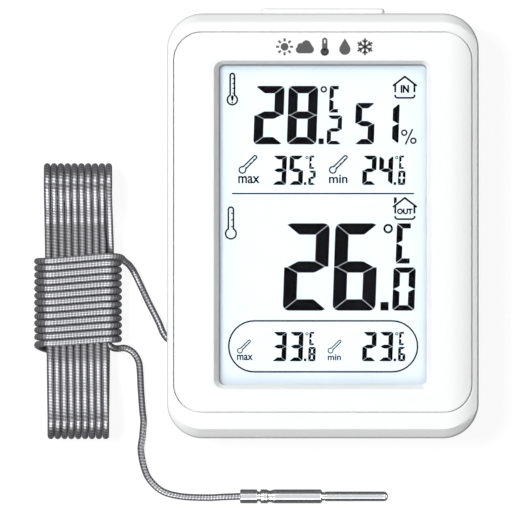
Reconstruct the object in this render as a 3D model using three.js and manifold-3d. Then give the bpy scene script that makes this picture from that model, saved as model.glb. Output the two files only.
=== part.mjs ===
// Indoor and outdoor thermometer with a wired probe, lying on its back with the display facing up.
// Millimetres. +Z points out of the display, +Y to the top of the display, +X to its right.
// The origin is on the table, under the middle of the casing and its top button.
import * as THREE from 'three';
import { mergeVertices } from 'three/addons/utils/BufferGeometryUtils.js';
import Module from 'manifold-3d';

const wasm = await Module();
wasm.setup();

// ---------------------------------------------------------------- driving dimensions

const caseWidth = 80.7;
const caseHeight = 110;
const caseDepth = 24;
const caseCorner = 9.3;
const wall = 2;
const stepHeight = 9; // the back half of the casing is narrower up to this height
const stepInset = 3.4;
const backEdge = 1; // chamfer round the back face
const crownRun = 8.2; // the front curves down over this width at each side
const crownDrop = 2.5;
const chamferRun = 2.3;
const touchGap = 0.1; // between pieces that rest on each other
const seamGap = 0.3;

const coverWidth = 77.2;
const coverHeight = 98.4;
const coverCorner = 7.3;
const coverLift = 0.96; // the cover sits this far above the middle of the casing
const coverCeiling = 21.8; // underside of the cover's face
const coverSkirt = 1.5;
const ledgeZ = 17.5;

const windowWidth = 53.5;
const windowHeight = 82.7;
const windowCorner = 1.1;
const windowBevel = 1.3;
const displayY = 0.32;

const lensSize = { width: 57, height: 86, z: 20.6, thick: 1 };
const glassSize = { width: 57, height: 88, z: 18.4, thick: 2 };
const guideSize = { width: 53.8, height: 82, z: 16.2, thick: 2 };
const sheetSize = { width: 53.8, height: 82, z: 15.7, thick: 0.4 };
const frameWall = 1.4;
const stripWidth = 2;
const boardZ = 14;
const boardThick = 1.6;

const caseScrewX = 32.6;
const caseScrewYs = [44.3, -42.6];
const caseBossTop = 11;
const boardScrewX = 33.2;
const boardScrewY = 20;

const batteryRadius = 5.25;
const batteryLength = 44.5;
const batteryYs = [14.9, 26.1];
const batteryZ = 7.4;
const bay = { halfLength: 26.2, bottom: 9, top: 32, ceiling: 12.9, wall: 1.2 };
const door = { halfWidth: 27.9, bottom: 6.9, top: 34.5, low: 0.1, high: 1.8 };
const doorPinY = door.top - 1.8;
const doorPinZ = 0.95;
const doorPinRadius = 0.8;

const stand = { halfWidth: 14, bottom: -47.3, low: 0.3, high: 2.9 };
const standPinY = -2.5;
const standPinZ = 2.05;
const standPinRadius = 0.8;
const standBarrel = 1.7;

const buttonProud = 1.3;
const lightButton = { halfWidth: 16, low: 11.6, high: 17 };
const backButtonX = 24.5;
const backButtonY = -12;
const backButtonRadius = 3.2;
const switchSize = 6;
const plungerRadius = 1.2;

const magnetX = 24;
const magnetY = -34;
const magnetRadius = 5;
const keyholeY = 42;

const cableDiameter = 1.75;
const cableRadius = cableDiameter / 2;
const cableExit = { x: -36.95, y: -29.75, z: 4.6 };
const grommetLength = 1.6;

const probeAxisY = -70.87;
const probeAxisZ = 1.8;
const probeStart = -21.4;

// The hank: ten loops that lie flat side by side, folded up at both ends and tied at the waist.
const hankLeft = -72.35;
const hankRight = -54;
const hankTop = 15.68;
const hankBottom = -56.01;
const hankFold = 3 * cableDiameter; // radius of the folds at the ends of the hank
const wrapLeft = -74.93;
const wrapRight = -52.05;
const wrapTop = -7.8;
const wrapBottom = -31.4;
const wrapBend = 4; // radius at the sides of the winding round the waist
const wrapHeight = 2 * wrapBend + cableDiameter;

// Where the free stretches lie, along the middle of the cable.
const leadRoute = [
  [-38.9, -30.4, 4.55],
  [-40.3, -29.9, 4.3],
  [-41.5, -28.2, 3.7],
  [-42.4, -26.0, 2.9],
  [-43.7, -23.4, 2.0],
  [-45.3, -20.3, 1.3],
  [-47.1, -16.4, 1.15],
  [-48.9, -12.7, 2.4],
  [-50.2, -10.8, 3.9],
  [-51.3, -9.9, 5.1],
];
const probeRoute = [
  [-53.2, -32.5, 2.4],
  [-51.2, -32.4, 1.5],
  [-49.2, -33.5, 1.0],
  [-47.8, -35.8, 0.95],
  [-47.4, -38.6, 0.95],
  [-47.2, -42.8, 0.95],
  [-46.8, -48.4, 0.95],
  [-46.5, -51.3, 0.95],
  [-46.8, -55.4, 0.95],
  [-47.2, -58.8, 0.95],
  [-46.4, -63.3, 0.95],
  [-44.8, -66.7, 0.95],
  [-41.5, -69.6, 0.95],
  [-36.6, -70.9, 0.95],
  [-29.9, -71.2, 1.2],
  [-25.5, -71.0, 1.7],
  [-21.7, -70.87, 1.8],
];

// ---------------------------------------------------------------- colours and finishes

function finish(color, roughness, metalness = 0) {
  return new THREE.MeshStandardMaterial({ color, roughness, metalness });
}

const whitePlastic = finish(0xf7f7f6, 0.35);
const clearPlastic = finish(0xf2f8fc, 0.05);
const displayGlass = finish(0xe4eff8, 0.12);
const guidePlastic = finish(0xf4faff, 0.15);
const sheetWhite = finish(0xfbfbfb, 0.6);
const stripRubber = finish(0xb9a6a4, 0.8);
const boardGreen = finish(0x2d6b45, 0.5);
const epoxyBlack = finish(0x141414, 0.4);
const tinnedSteel = finish(0xb9bcc0, 0.3, 1);
const nickelSteel = finish(0xc4c6c8, 0.25, 1);
const probeSteel = finish(0x9b9b9d, 0.25, 1);
const greyRubber = finish(0x6a6c6f, 0.8);
const cellSleeve = finish(0x37414a, 0.35);
const magnetNickel = finish(0xa9abae, 0.25, 1);
const cableBraid = finish(0x8a8b8e, 0.4, 0.8);
const redInsulation = finish(0xb0241d, 0.5);
const blackInsulation = finish(0x1a1a1a, 0.5);

// ---------------------------------------------------------------- solids

function solidOf(geometry) {
  geometry.deleteAttribute('normal');
  geometry.deleteAttribute('uv');
  const merged = mergeVertices(geometry, 1e-4);
  const mesh = new wasm.Mesh({
    numProp: 3,
    vertProperties: merged.attributes.position.array,
    triVerts: new Uint32Array(merged.index.array),
  });
  return new wasm.Manifold(mesh);
}

function geometryOf(solid) {
  const mesh = solid.getMesh();
  const geometry = new THREE.BufferGeometry();
  geometry.setAttribute('position', new THREE.BufferAttribute(mesh.vertProperties, 3));
  geometry.setIndex(new THREE.BufferAttribute(mesh.triVerts, 1));
  const faceted = geometry.toNonIndexed();
  faceted.computeVertexNormals();
  return faceted;
}

function block(x0, x1, y0, y1, z0, z1) {
  const geometry = new THREE.BoxGeometry(x1 - x0, y1 - y0, z1 - z0);
  geometry.translate((x0 + x1) / 2, (y0 + y1) / 2, (z0 + z1) / 2);
  return solidOf(geometry);
}

// A centred box: half widths in x and y, and its lowest and highest z.
function slab(halfX, halfY, z0, z1, x = 0, y = 0) {
  return block(x - halfX, x + halfX, y - halfY, y + halfY, z0, z1);
}

function pillar(radius, x, y, z0, z1, sides = 24) {
  const geometry = new THREE.CylinderGeometry(radius, radius, z1 - z0, sides);
  geometry.rotateX(Math.PI / 2);
  geometry.translate(x, y, (z0 + z1) / 2);
  return solidOf(geometry);
}

function rodAlongX(radius, x0, x1, y, z, sides = 24) {
  const geometry = new THREE.CylinderGeometry(radius, radius, x1 - x0, sides);
  geometry.rotateZ(Math.PI / 2);
  geometry.translate((x0 + x1) / 2, y, z);
  return solidOf(geometry);
}

function rodAlongY(radius, y0, y1, x, z, sides = 24) {
  const geometry = new THREE.CylinderGeometry(radius, radius, y1 - y0, sides);
  geometry.translate(x, (y0 + y1) / 2, z);
  return solidOf(geometry);
}

function roundedOutline(width, height, radius, x = 0, y = 0) {
  const right = x + width / 2 - radius;
  const left = x - width / 2 + radius;
  const top = y + height / 2 - radius;
  const bottom = y - height / 2 + radius;
  const outline = new THREE.Shape();
  outline.moveTo(right + radius, bottom);
  outline.absarc(right, top, radius, 0, Math.PI / 2, false);
  outline.absarc(left, top, radius, Math.PI / 2, Math.PI, false);
  outline.absarc(left, bottom, radius, Math.PI, 1.5 * Math.PI, false);
  outline.absarc(right, bottom, radius, 1.5 * Math.PI, 2 * Math.PI, false);
  return outline;
}

function plate(outline, z0, z1, curveSegments = 3) {
  const geometry = new THREE.ExtrudeGeometry(outline, {
    depth: z1 - z0,
    bevelEnabled: false,
    curveSegments,
  });
  geometry.translate(0, 0, z0);
  return solidOf(geometry);
}

// A plate whose top edge is cut back by run over the last rise of its height.
function chamferedPlate(outline, z0, z1, run, rise, curveSegments = 3) {
  const geometry = new THREE.ExtrudeGeometry(outline, {
    depth: z1 - z0,
    bevelEnabled: true,
    bevelThickness: rise,
    bevelSize: run,
    bevelOffset: -run,
    bevelSegments: 1,
    curveSegments,
  });
  geometry.translate(0, 0, z0 - rise);
  const everything = slab(500, 500, z0, z1);
  return solidOf(geometry).intersect(everything);
}

// An outline drawn in y and z, carried along x.
function prismAlongX(outline, x0, x1, curveSegments = 5) {
  const geometry = new THREE.ExtrudeGeometry(outline, {
    depth: x1 - x0,
    bevelEnabled: false,
    curveSegments,
  });
  const alongY = new THREE.Vector3(0, 1, 0);
  const alongZ = new THREE.Vector3(0, 0, 1);
  const alongX = new THREE.Vector3(1, 0, 0);
  geometry.applyMatrix4(new THREE.Matrix4().makeBasis(alongY, alongZ, alongX));
  geometry.translate(x0, 0, 0);
  return solidOf(geometry);
}

// An outline drawn in x and z, carried along y.
function prismAlongY(outline, y0, y1, curveSegments = 3) {
  const geometry = new THREE.ExtrudeGeometry(outline, {
    depth: y1 - y0,
    bevelEnabled: false,
    curveSegments,
  });
  geometry.rotateX(Math.PI / 2);
  geometry.translate(0, y1, 0);
  return solidOf(geometry);
}

// A profile of [along, radius] points turned round an axis that points along +X.
function turnedAlongX(profile, x, y, z, sides = 24) {
  const points = profile.map(([along, radius]) => new THREE.Vector2(radius, along));
  const geometry = new THREE.LatheGeometry(points, sides);
  geometry.rotateZ(-Math.PI / 2);
  geometry.translate(x, y, z);
  return solidOf(geometry);
}

function tubeAlong(points, radius, steps, sides = 8) {
  const path = new THREE.CatmullRomCurve3(points.map((p) => new THREE.Vector3(...p)));
  const section = new THREE.Shape();
  section.absarc(0, 0, radius, 0, 2 * Math.PI, false);
  const geometry = new THREE.ExtrudeGeometry(section, {
    steps,
    extrudePath: path,
    curveSegments: sides / 2, // each unit of a full circle's makes two sides
    bevelEnabled: false,
  });
  return solidOf(geometry);
}

function joined(solids) {
  return solids.reduce((whole, next) => whole.add(next));
}

const unit = new THREE.Group(); // the casing and all it holds, about the middle of the casing
unit.position.y = -buttonProud / 2;
const part = new THREE.Group();
part.add(unit);

function place(parent, name, solid, material) {
  const mesh = new THREE.Mesh(geometryOf(solid), material);
  mesh.name = name;
  parent.add(mesh);
}

// ---------------------------------------------------------------- casing

// The front is flat in the middle and curves down to both sides.
function crownPrism() {
  const half = caseWidth / 2;
  const radius = (crownRun ** 2 + crownDrop ** 2) / (2 * crownDrop);
  const sweep = Math.asin(crownRun / radius);
  const bend = half - crownRun;
  const outline = new THREE.Shape();
  outline.moveTo(-half, 0);
  outline.lineTo(half, 0);
  outline.absarc(bend, caseDepth - radius, radius, Math.PI / 2 - sweep, Math.PI / 2, false);
  outline.absarc(-bend, caseDepth - radius, radius, Math.PI / 2, Math.PI / 2 + sweep, false);
  return prismAlongY(outline, -caseHeight / 2, caseHeight / 2);
}

function caseBlank() {
  const outline = roundedOutline(caseWidth, caseHeight, caseCorner);
  const front = chamferedPlate(outline, stepHeight, caseDepth, chamferRun, crownDrop);
  const narrow = roundedOutline(
    caseWidth - 2 * stepInset,
    caseHeight - 2 * stepInset,
    caseCorner - stepInset,
  );
  const topDown = new THREE.Matrix4().makeRotationX(Math.PI);
  const backHeight = stepHeight + 1;
  const back = chamferedPlate(narrow, -backHeight, 0, backEdge, backEdge);
  return front.intersect(crownPrism()).add(back.transform(topDown.toArray()));
}

function caseHollow() {
  const upper = roundedOutline(caseWidth - 2 * wall, caseHeight - 2 * wall, caseCorner - wall);
  const lowerInset = 2 * (stepInset + wall);
  const lower = roundedOutline(caseWidth - lowerInset, caseHeight - lowerInset, wall);
  const pocket = roundedOutline(
    coverWidth + seamGap,
    coverHeight + seamGap,
    coverCorner + seamGap / 2,
    0,
    coverLift,
  );
  return joined([
    plate(upper, stepHeight + wall, ledgeZ),
    plate(lower, wall, stepHeight + wall + 1),
    plate(pocket, ledgeZ - 1, caseDepth + 1),
  ]);
}

const bossRadius = 3.7;
const standPad = { halfWidth: 18, top: 2.2, thick: 5 };
const doorPad = { halfWidth: 30.5, bottom: 4.5, top: 37.2, thick: 4.2 };
const magnetPadRadius = 6.4;
const keyholePad = { halfWidth: 7, halfHeight: 5.4, thick: 3.6 };

function caseInnerWalls() {
  const bayTop = bay.ceiling + 0.8;
  const middleY = (bay.bottom + bay.top) / 2;
  const bayHalfY = (bay.top - bay.bottom) / 2 + bay.wall;
  const walls = [
    slab(bay.halfLength + bay.wall, bayHalfY, 1, bayTop, 0, middleY),
    block(-doorPad.halfWidth, doorPad.halfWidth, doorPad.bottom, doorPad.top, 1, doorPad.thick),
    block(-standPad.halfWidth, standPad.halfWidth, -50, standPad.top, 1, standPad.thick),
    slab(keyholePad.halfWidth, keyholePad.halfHeight, 1, keyholePad.thick, 0, keyholeY),
  ];
  for (const side of [-1, 1]) {
    walls.push(pillar(magnetPadRadius, side * magnetX, magnetY, 1, 3.8));
    for (const y of caseScrewYs) {
      walls.push(pillar(bossRadius, side * caseScrewX, y, 1, caseBossTop));
    }
  }
  return joined(walls);
}

function batteryOpening() {
  const lip = 0.3;
  const ledge = door.high + lip;
  const pinHole = doorPinRadius + 0.25;
  const finger = pillar(5, 0, door.bottom - 0.3, -1, 1.4);
  return joined([
    block(-bay.halfLength, bay.halfLength, bay.bottom, bay.top, -1, bay.ceiling),
    block(-door.halfWidth - lip, door.halfWidth + lip, door.bottom - lip, door.top + 0.4, -1, ledge),
    block(-door.halfWidth, door.halfWidth, bay.top - 0.1, door.top + 0.4, -1, 3.2),
    rodAlongX(pinHole, -door.halfWidth - 1.7, door.halfWidth + 1.7, doorPinY, doorPinZ, 16),
    finger,
  ]);
}

function standRecess() {
  const half = stand.halfWidth + 0.4;
  const hinge = standPinY;
  return joined([
    block(-half, half, stand.bottom - 0.7, hinge + 2.3, -1, 3.4),
    block(-half, half, hinge - 2.3, hinge + 2.3, -1, 4.1),
    rodAlongX(standPinRadius + 0.15, -16.2, 16.2, hinge, standPinZ, 16),
    pillar(3.4, 0, stand.bottom - 0.2, -1, 3.4, 20),
  ]);
}

function keyhole() {
  const headRadius = 2.8;
  const slotHalf = 1.6;
  return joined([
    pillar(headRadius, 0, keyholeY - 1.2, -1, keyholePad.thick + 1, 20),
    block(-slotHalf, slotHalf, keyholeY - 1.2, keyholeY + 3.2, -1, keyholePad.thick + 1),
    pillar(slotHalf, 0, keyholeY + 3.2, -1, keyholePad.thick + 1, 16),
  ]);
}

function caseHoles() {
  const holes = [batteryOpening(), standRecess(), keyhole()];
  for (const side of [-1, 1]) {
    holes.push(pillar(magnetRadius + 0.15, side * magnetX, magnetY, -1, 2.6));
    holes.push(pillar(backButtonRadius + 0.3, side * backButtonX, backButtonY, -1, wall + 1));
    for (const y of caseScrewYs) {
      holes.push(pillar(2.6, side * caseScrewX, y, -1, 4, 20));
      holes.push(pillar(1.3, side * caseScrewX, y, -1, caseBossTop + 1, 12));
    }
  }
  const slotGap = 0.3;
  const slotHalf = lightButton.halfWidth + slotGap;
  const slotLow = lightButton.low - slotGap;
  const slotHigh = lightButton.high + slotGap;
  holes.push(block(-slotHalf, slotHalf, caseHeight / 2 - wall - 1, caseHeight / 2 + 1, slotLow, slotHigh));
  const inside = cableExit.x + wall + 1;
  holes.push(rodAlongX(2.05, cableExit.x - 1, inside, cableExit.y, cableExit.z, 16));
  const ventX = caseWidth / 2 - stepInset;
  const ventPitch = 2.6;
  for (let slot = 0; slot < 7; slot++) {
    const y = -38 + slot * ventPitch;
    holes.push(block(ventX - wall - 1, ventX + 1, y - 0.6, y + 0.6, 3.2, 7.6));
  }
  return joined(holes);
}

function rearCase() {
  const shell = caseBlank().subtract(caseHollow());
  return shell.add(caseInnerWalls()).subtract(caseHoles());
}

// The window narrows from the face down to the lens.
function windowCut() {
  const low = coverCeiling - 0.5;
  const high = caseDepth + 0.5;
  const opening = roundedOutline(windowWidth, windowHeight, windowCorner, 0, displayY);
  const slope = windowBevel / (caseDepth - coverCeiling);
  const run = slope * (high - coverCeiling);
  const wide = roundedOutline(
    windowWidth + 2 * run,
    windowHeight + 2 * run,
    windowCorner + run,
    0,
    0,
  );
  const flipped = chamferedPlate(wide, -high - 2, -coverCeiling, run, high - coverCeiling);
  const turn = new THREE.Matrix4().makeRotationX(Math.PI);
  const shift = new THREE.Matrix4().makeTranslation(0, displayY, 0);
  const bevelled = flipped.transform(shift.multiply(turn).toArray());
  return plate(opening, low, high).add(bevelled);
}

function frontCover() {
  const outline = roundedOutline(
    coverWidth - seamGap,
    coverHeight - seamGap,
    coverCorner - seamGap / 2,
    0,
    coverLift,
  );
  const hollow = roundedOutline(
    coverWidth - seamGap - 2 * coverSkirt,
    coverHeight - seamGap - 2 * coverSkirt,
    coverCorner - coverSkirt,
    0,
    coverLift,
  );
  const skirtBottom = ledgeZ + seamGap;
  let cover = plate(outline, skirtBottom, caseDepth).intersect(crownPrism());
  cover = cover.subtract(plate(hollow, skirtBottom - 1, coverCeiling));
  for (const side of [-1, 1]) {
    for (const y of caseScrewYs) {
      cover = cover.add(pillar(2.3, side * caseScrewX, y, caseBossTop + 0.2, coverCeiling + 0.5, 20));
      cover = cover.subtract(pillar(1.1, side * caseScrewX, y, 0, 16.5, 12));
    }
    for (const end of [-1, 1]) {
      const y = end * boardScrewY;
      const foot = boardZ + boardThick + touchGap;
      cover = cover.add(pillar(2.2, side * boardScrewX, y, foot, coverCeiling + 0.5, 20));
      cover = cover.subtract(pillar(0.95, side * boardScrewX, y, 0, 19.5, 12));
    }
  }
  return cover.subtract(windowCut());
}

// ---------------------------------------------------------------- display

function layer({ width, height, z, thick }, corner = 0.8) {
  return plate(roundedOutline(width, height, corner, 0, displayY), z, z + thick, 2);
}

function lcdFrame() {
  const low = boardZ + boardThick + touchGap;
  const high = glassSize.z + glassSize.thick + 0.1;
  const clearance = 0.2;
  const innerX = glassSize.width / 2 + clearance;
  const innerY = glassSize.height / 2 + clearance;
  const outer = slab(innerX + frameWall, innerY + frameWall, low, high, 0, displayY);
  return outer.subtract(slab(innerX, innerY, low - 1, high + 1, 0, displayY));
}

function contactStrip(side) {
  const low = boardZ + boardThick + touchGap;
  const high = glassSize.z - touchGap;
  const y = displayY + side * (guideSize.height / 2 + 0.4 + stripWidth / 2);
  return slab(25, stripWidth / 2, low, high, 0, y);
}

function backlightLed(side) {
  const x = side * (guideSize.width / 2 + 0.9);
  return slab(0.7, 1.5, boardZ + boardThick + touchGap, guideSize.z + 1.6, x, displayY);
}

// ---------------------------------------------------------------- circuit board

function mainBoard() {
  const middle = slab(29.6, 45.6, boardZ, boardZ + boardThick, 0, 0.4);
  const ears = slab(35, 37, boardZ, boardZ + boardThick, 0, 0.4);
  let board = middle.add(ears);
  for (const side of [-1, 1]) {
    for (const end of [-1, 1]) {
      board = board.subtract(pillar(1, side * boardScrewX, end * boardScrewY, 0, 30, 12));
    }
  }
  return board;
}

function controllerBlob() {
  const radius = 7;
  const height = 1.8;
  const sphere = (radius ** 2 + height ** 2) / (2 * height);
  const points = [new THREE.Vector2(0, 0)];
  for (let ring = 0; ring <= 5; ring++) {
    const out = (radius * (5 - ring)) / 5;
    points.push(new THREE.Vector2(out, Math.sqrt(sphere ** 2 - out ** 2) - (sphere - height)));
  }
  points[points.length - 1].x = 0;
  const geometry = new THREE.LatheGeometry(points, 20);
  geometry.rotateX(-Math.PI / 2);
  geometry.translate(0, -10, boardZ - touchGap);
  return solidOf(geometry);
}

function clockCrystal() {
  return rodAlongX(1, 9, 15, -14, boardZ - touchGap - 1, 16);
}

function smoothingCapacitor() {
  return pillar(2.5, -10, -28, boardZ - touchGap - 5, boardZ - touchGap, 20);
}

function roomSensor() {
  return slab(2, 2.5, boardZ - 1.5, boardZ - touchGap, 30, -30);
}

// A push switch under the board. Its plunger sits in a bore and is pushed up by a button's stem.
function backSwitch(x, y) {
  const half = switchSize / 2;
  const body = slab(half, half, 10.3, boardZ - touchGap, x, y);
  return body.subtract(pillar(plungerRadius + 0.15, x, y, 10, 12.3, 20));
}

function backPlunger(x, y) {
  return pillar(plungerRadius, x, y, 9.5, 11.1, 20);
}

const lightSwitchZ = 12.3;

function lightSwitch() {
  const body = block(-switchSize / 2, switchSize / 2, 44.4, 48.2, 10.5, boardZ - touchGap);
  return body.subtract(rodAlongY(plungerRadius + 0.15, 46.3, 49, 0, lightSwitchZ, 20));
}

function lightPlunger() {
  return rodAlongY(plungerRadius, 47.4, 49.2, 0, lightSwitchZ, 20);
}

// ---------------------------------------------------------------- buttons

// A bar across the top edge, with a flange that keeps it in its slot.
function lightButtonSolid() {
  const { halfWidth, low, high } = lightButton;
  const middle = (low + high) / 2;
  const top = caseHeight / 2 + buttonProud;
  const outline = new THREE.Shape();
  const round = 1.2;
  outline.moveTo(-halfWidth, 52.4);
  outline.lineTo(halfWidth, 52.4);
  outline.absarc(halfWidth - round, top - round, round, 0, Math.PI / 2, false);
  outline.absarc(-halfWidth + round, top - round, round, Math.PI / 2, Math.PI, false);
  const cap = plate(outline, low, high);
  const flange = block(-18.5, 18.5, 51.4, 52.7, low - 0.4, high + 0.2);
  const stem = block(-2, 2, 49.3, 51.8, lightSwitchZ - 0.9, middle);
  return joined([cap, flange, stem]);
}

function backButton(x, y) {
  return joined([
    pillar(backButtonRadius, x, y, 0.4, 3),
    pillar(backButtonRadius + 1, x, y, wall + 0.2, wall + 1.2),
    pillar(1.3, x, y, 3, 9.4, 16),
  ]);
}

// ---------------------------------------------------------------- batteries

function battery(index) {
  const flip = index === 0 ? 1 : -1;
  const nub = 0.8;
  const profile = [
    [0, 0],
    [0, batteryRadius - 0.3],
    [0.3, batteryRadius],
    [batteryLength - nub - 0.3, batteryRadius],
    [batteryLength - nub, batteryRadius - 0.5],
    [batteryLength - nub, 1.9],
    [batteryLength, 1.9],
    [batteryLength, 0],
  ];
  const points = profile.map(([along, radius]) => new THREE.Vector2(radius, along));
  const geometry = new THREE.LatheGeometry(points, 24);
  geometry.rotateZ((-flip * Math.PI) / 2);
  geometry.translate(-flip * 19.2, batteryYs[index], batteryZ);
  return solidOf(geometry);
}

const contactFace = 25.5;

function contactSpring(side) {
  const turns = 4;
  const perTurn = 10;
  const wire = 0.3;
  const from = contactFace - wire - touchGap;
  const to = 19.2 + wire + touchGap;
  const y = side < 0 ? batteryYs[0] : batteryYs[1];
  const points = [];
  for (let step = 0; step <= turns * perTurn; step++) {
    const along = step / (turns * perTurn);
    const angle = (2 * Math.PI * step) / perTurn;
    const radius = 3.6 - 1.3 * along;
    const x = side * (from + (to - from) * along);
    points.push([x, y + radius * Math.cos(angle), batteryZ + radius * Math.sin(angle)]);
  }
  return tubeAlong(points, wire, turns * perTurn, 6);
}

function contactPlate(side, y0, y1) {
  const near = side * contactFace;
  const far = side * (contactFace + 0.4);
  return block(Math.min(near, far), Math.max(near, far), y0, y1, 3, 11.8);
}

function batteryDoor() {
  const { halfWidth, bottom, top, low, high } = door;
  const panel = block(-halfWidth, halfWidth, bottom, top, low, high);
  const pin = rodAlongX(doorPinRadius, -halfWidth - 1.4, halfWidth + 1.4, doorPinY, doorPinZ, 16);
  const latch = block(-5, 5, bay.bottom + 0.3, bay.bottom + 1.3, high - 0.2, 4);
  return joined([panel, pin, latch]);
}

// ---------------------------------------------------------------- stand

function standLeg() {
  const outline = roundedOutline(
    2 * stand.halfWidth,
    standPinY - stand.bottom + 4,
    3,
    0,
    (standPinY + stand.bottom + 4) / 2,
  );
  const panel = plate(outline, stand.low, stand.high);
  const clear = block(-20, 20, standPinY, standPinY + 10, -5, 10);
  const barrel = rodAlongX(standBarrel, -stand.halfWidth, stand.halfWidth, standPinY, standPinZ);
  const bore = rodAlongX(standPinRadius + 0.15, -20, 20, standPinY, standPinZ, 16);
  return panel.subtract(clear).add(barrel).subtract(bore);
}

// ---------------------------------------------------------------- fasteners

function screw(x, y, headZ, headRadius, headHeight, shankRadius, length) {
  const head = pillar(headRadius, x, y, headZ, headZ + headHeight, 20);
  const shank = pillar(shankRadius, x, y, headZ + headHeight / 2, headZ + headHeight + length, 12);
  const arm = headRadius * 0.55;
  const width = headRadius * 0.13;
  const depth = headZ + headHeight * 0.55;
  const cross = slab(arm, width, headZ - 1, depth, x, y).add(slab(width, arm, headZ - 1, depth, x, y));
  return head.add(shank).subtract(cross);
}

// ---------------------------------------------------------------- cable and probe

function cableGrommet() {
  const bore = cableRadius + 0.2;
  const outer = [
    [-grommetLength, bore],
    [-grommetLength, 1.5],
    [-0.05, 2.1],
    [-0.05, 1.9],
    [wall + 0.05, 1.9],
    [wall + 0.05, 2.4],
    [wall + 1.1, 2.4],
    [wall + 1.1, bore],
    [-grommetLength, bore],
  ];
  return turnedAlongX(outer, cableExit.x, cableExit.y, cableExit.z, 20);
}

function hankOutline() {
  const outer = hankFold + cableRadius;
  const waistLow = cableDiameter;
  const waistHigh = 2 * wrapBend;
  const outline = new THREE.Shape();
  outline.moveTo(wrapBottom, waistLow);
  outline.lineTo(wrapTop, waistLow);
  outline.absarc(hankTop - outer, outer, outer, -Math.PI / 2, Math.PI / 2, false);
  outline.lineTo(wrapTop, waistHigh);
  outline.lineTo(wrapBottom, waistHigh);
  outline.absarc(hankBottom + outer, outer, outer, Math.PI / 2, 1.5 * Math.PI, false);
  return outline;
}

function cableHank() {
  const loops = prismAlongX(hankOutline(), hankLeft, hankRight);
  const width = wrapRight - wrapLeft;
  const outline = roundedOutline(
    width,
    wrapHeight,
    wrapHeight / 2 - 0.01,
    (wrapLeft + wrapRight) / 2,
    wrapHeight / 2,
  );
  return loops.add(prismAlongY(outline, wrapBottom, wrapTop));
}

function probeFerrule() {
  return turnedAlongX(
    [
      [0, 1.05],
      [0, 1.6],
      [0.3, 1.8],
      [4.3, 1.8],
      [4.5, 1.3],
      [5.2, 1.3],
      [5.4, 1.8],
      [7.3, 1.8],
      [7.5, 1.45],
      [8.8, 1.45],
      [8.8, 1.05],
      [0, 1.05],
    ],
    probeStart,
    probeAxisY,
    probeAxisZ,
  );
}

const barrelStart = probeStart + 9.1;

function probeBarrel() {
  return turnedAlongX(
    [
      [0, 0.8],
      [0, 1.7],
      [0.2, 1.8],
      [11.6, 1.8],
      [12.1, 1.5],
      [12.6, 1.5],
      [12.6, 0.8],
      [0, 0.8],
    ],
    barrelStart,
    probeAxisY,
    probeAxisZ,
  );
}

const tipStart = barrelStart + 12.9;
const tipEnd = 16.93;

function probeTip() {
  const length = tipEnd - tipStart;
  const outer = 1.25;
  const bore = 0.8;
  const profile = [
    [0, bore],
    [0, outer],
    [length - outer, outer],
  ];
  for (let ring = 1; ring < 4; ring++) {
    const angle = (ring * Math.PI) / 8;
    profile.push([length - outer + outer * Math.sin(angle), outer * Math.cos(angle)]);
  }
  profile.push([length, 0]);
  profile.push([length - 1.2, 0]);
  profile.push([length - 1.2, bore]);
  profile.push([0, bore]);
  return turnedAlongX(profile, tipStart, probeAxisY, probeAxisZ);
}

function probeBead() {
  return rodAlongX(0.6, tipEnd - 4, tipEnd - 1.5, probeAxisY, probeAxisZ, 12);
}

// ---------------------------------------------------------------- the assembly

place(unit, 'rear_case', rearCase(), whitePlastic);
place(unit, 'front_cover', frontCover(), whitePlastic);
place(unit, 'display_lens', layer(lensSize), clearPlastic);
place(unit, 'lcd_glass', layer(glassSize, 0.4), displayGlass);
place(unit, 'light_guide', layer(guideSize, 0.4), guidePlastic);
place(unit, 'reflector_sheet', layer(sheetSize, 0.4), sheetWhite);
place(unit, 'lcd_frame', lcdFrame(), sheetWhite);
place(unit, 'upper_contact_strip', contactStrip(1), stripRubber);
place(unit, 'lower_contact_strip', contactStrip(-1), stripRubber);
place(unit, 'backlight_led_left', backlightLed(-1), sheetWhite);
place(unit, 'backlight_led_right', backlightLed(1), sheetWhite);

place(unit, 'main_board', mainBoard(), boardGreen);
place(unit, 'controller_blob', controllerBlob(), epoxyBlack);
place(unit, 'clock_crystal', clockCrystal(), tinnedSteel);
place(unit, 'smoothing_capacitor', smoothingCapacitor(), epoxyBlack);
place(unit, 'room_sensor', roomSensor(), sheetWhite);
place(unit, 'unit_switch', backSwitch(-backButtonX, backButtonY), epoxyBlack);
place(unit, 'unit_switch_plunger', backPlunger(-backButtonX, backButtonY), sheetWhite);
place(unit, 'clear_switch', backSwitch(backButtonX, backButtonY), epoxyBlack);
place(unit, 'clear_switch_plunger', backPlunger(backButtonX, backButtonY), sheetWhite);
place(unit, 'light_switch', lightSwitch(), epoxyBlack);
place(unit, 'light_switch_plunger', lightPlunger(), sheetWhite);

place(unit, 'light_button', lightButtonSolid(), whitePlastic);
place(unit, 'unit_button', backButton(-backButtonX, backButtonY), whitePlastic);
place(unit, 'clear_button', backButton(backButtonX, backButtonY), whitePlastic);

place(unit, 'lower_battery', battery(0), cellSleeve);
place(unit, 'upper_battery', battery(1), cellSleeve);
place(unit, 'left_contact_spring', contactSpring(-1), nickelSteel);
place(unit, 'right_contact_spring', contactSpring(1), nickelSteel);
place(unit, 'negative_contact', contactPlate(-1, 10.4, 19.4), nickelSteel);
place(unit, 'positive_contact', contactPlate(-1, 21.6, 30.6), nickelSteel);
place(unit, 'bridge_contact', contactPlate(1, 10.4, 30.6), nickelSteel);
place(unit, 'battery_door', batteryDoor(), whitePlastic);

place(unit, 'stand', standLeg(), whitePlastic);
const pin = rodAlongX(standPinRadius, -16, 16, standPinY, standPinZ, 16);
place(unit, 'stand_pin', pin, tinnedSteel);

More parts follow.
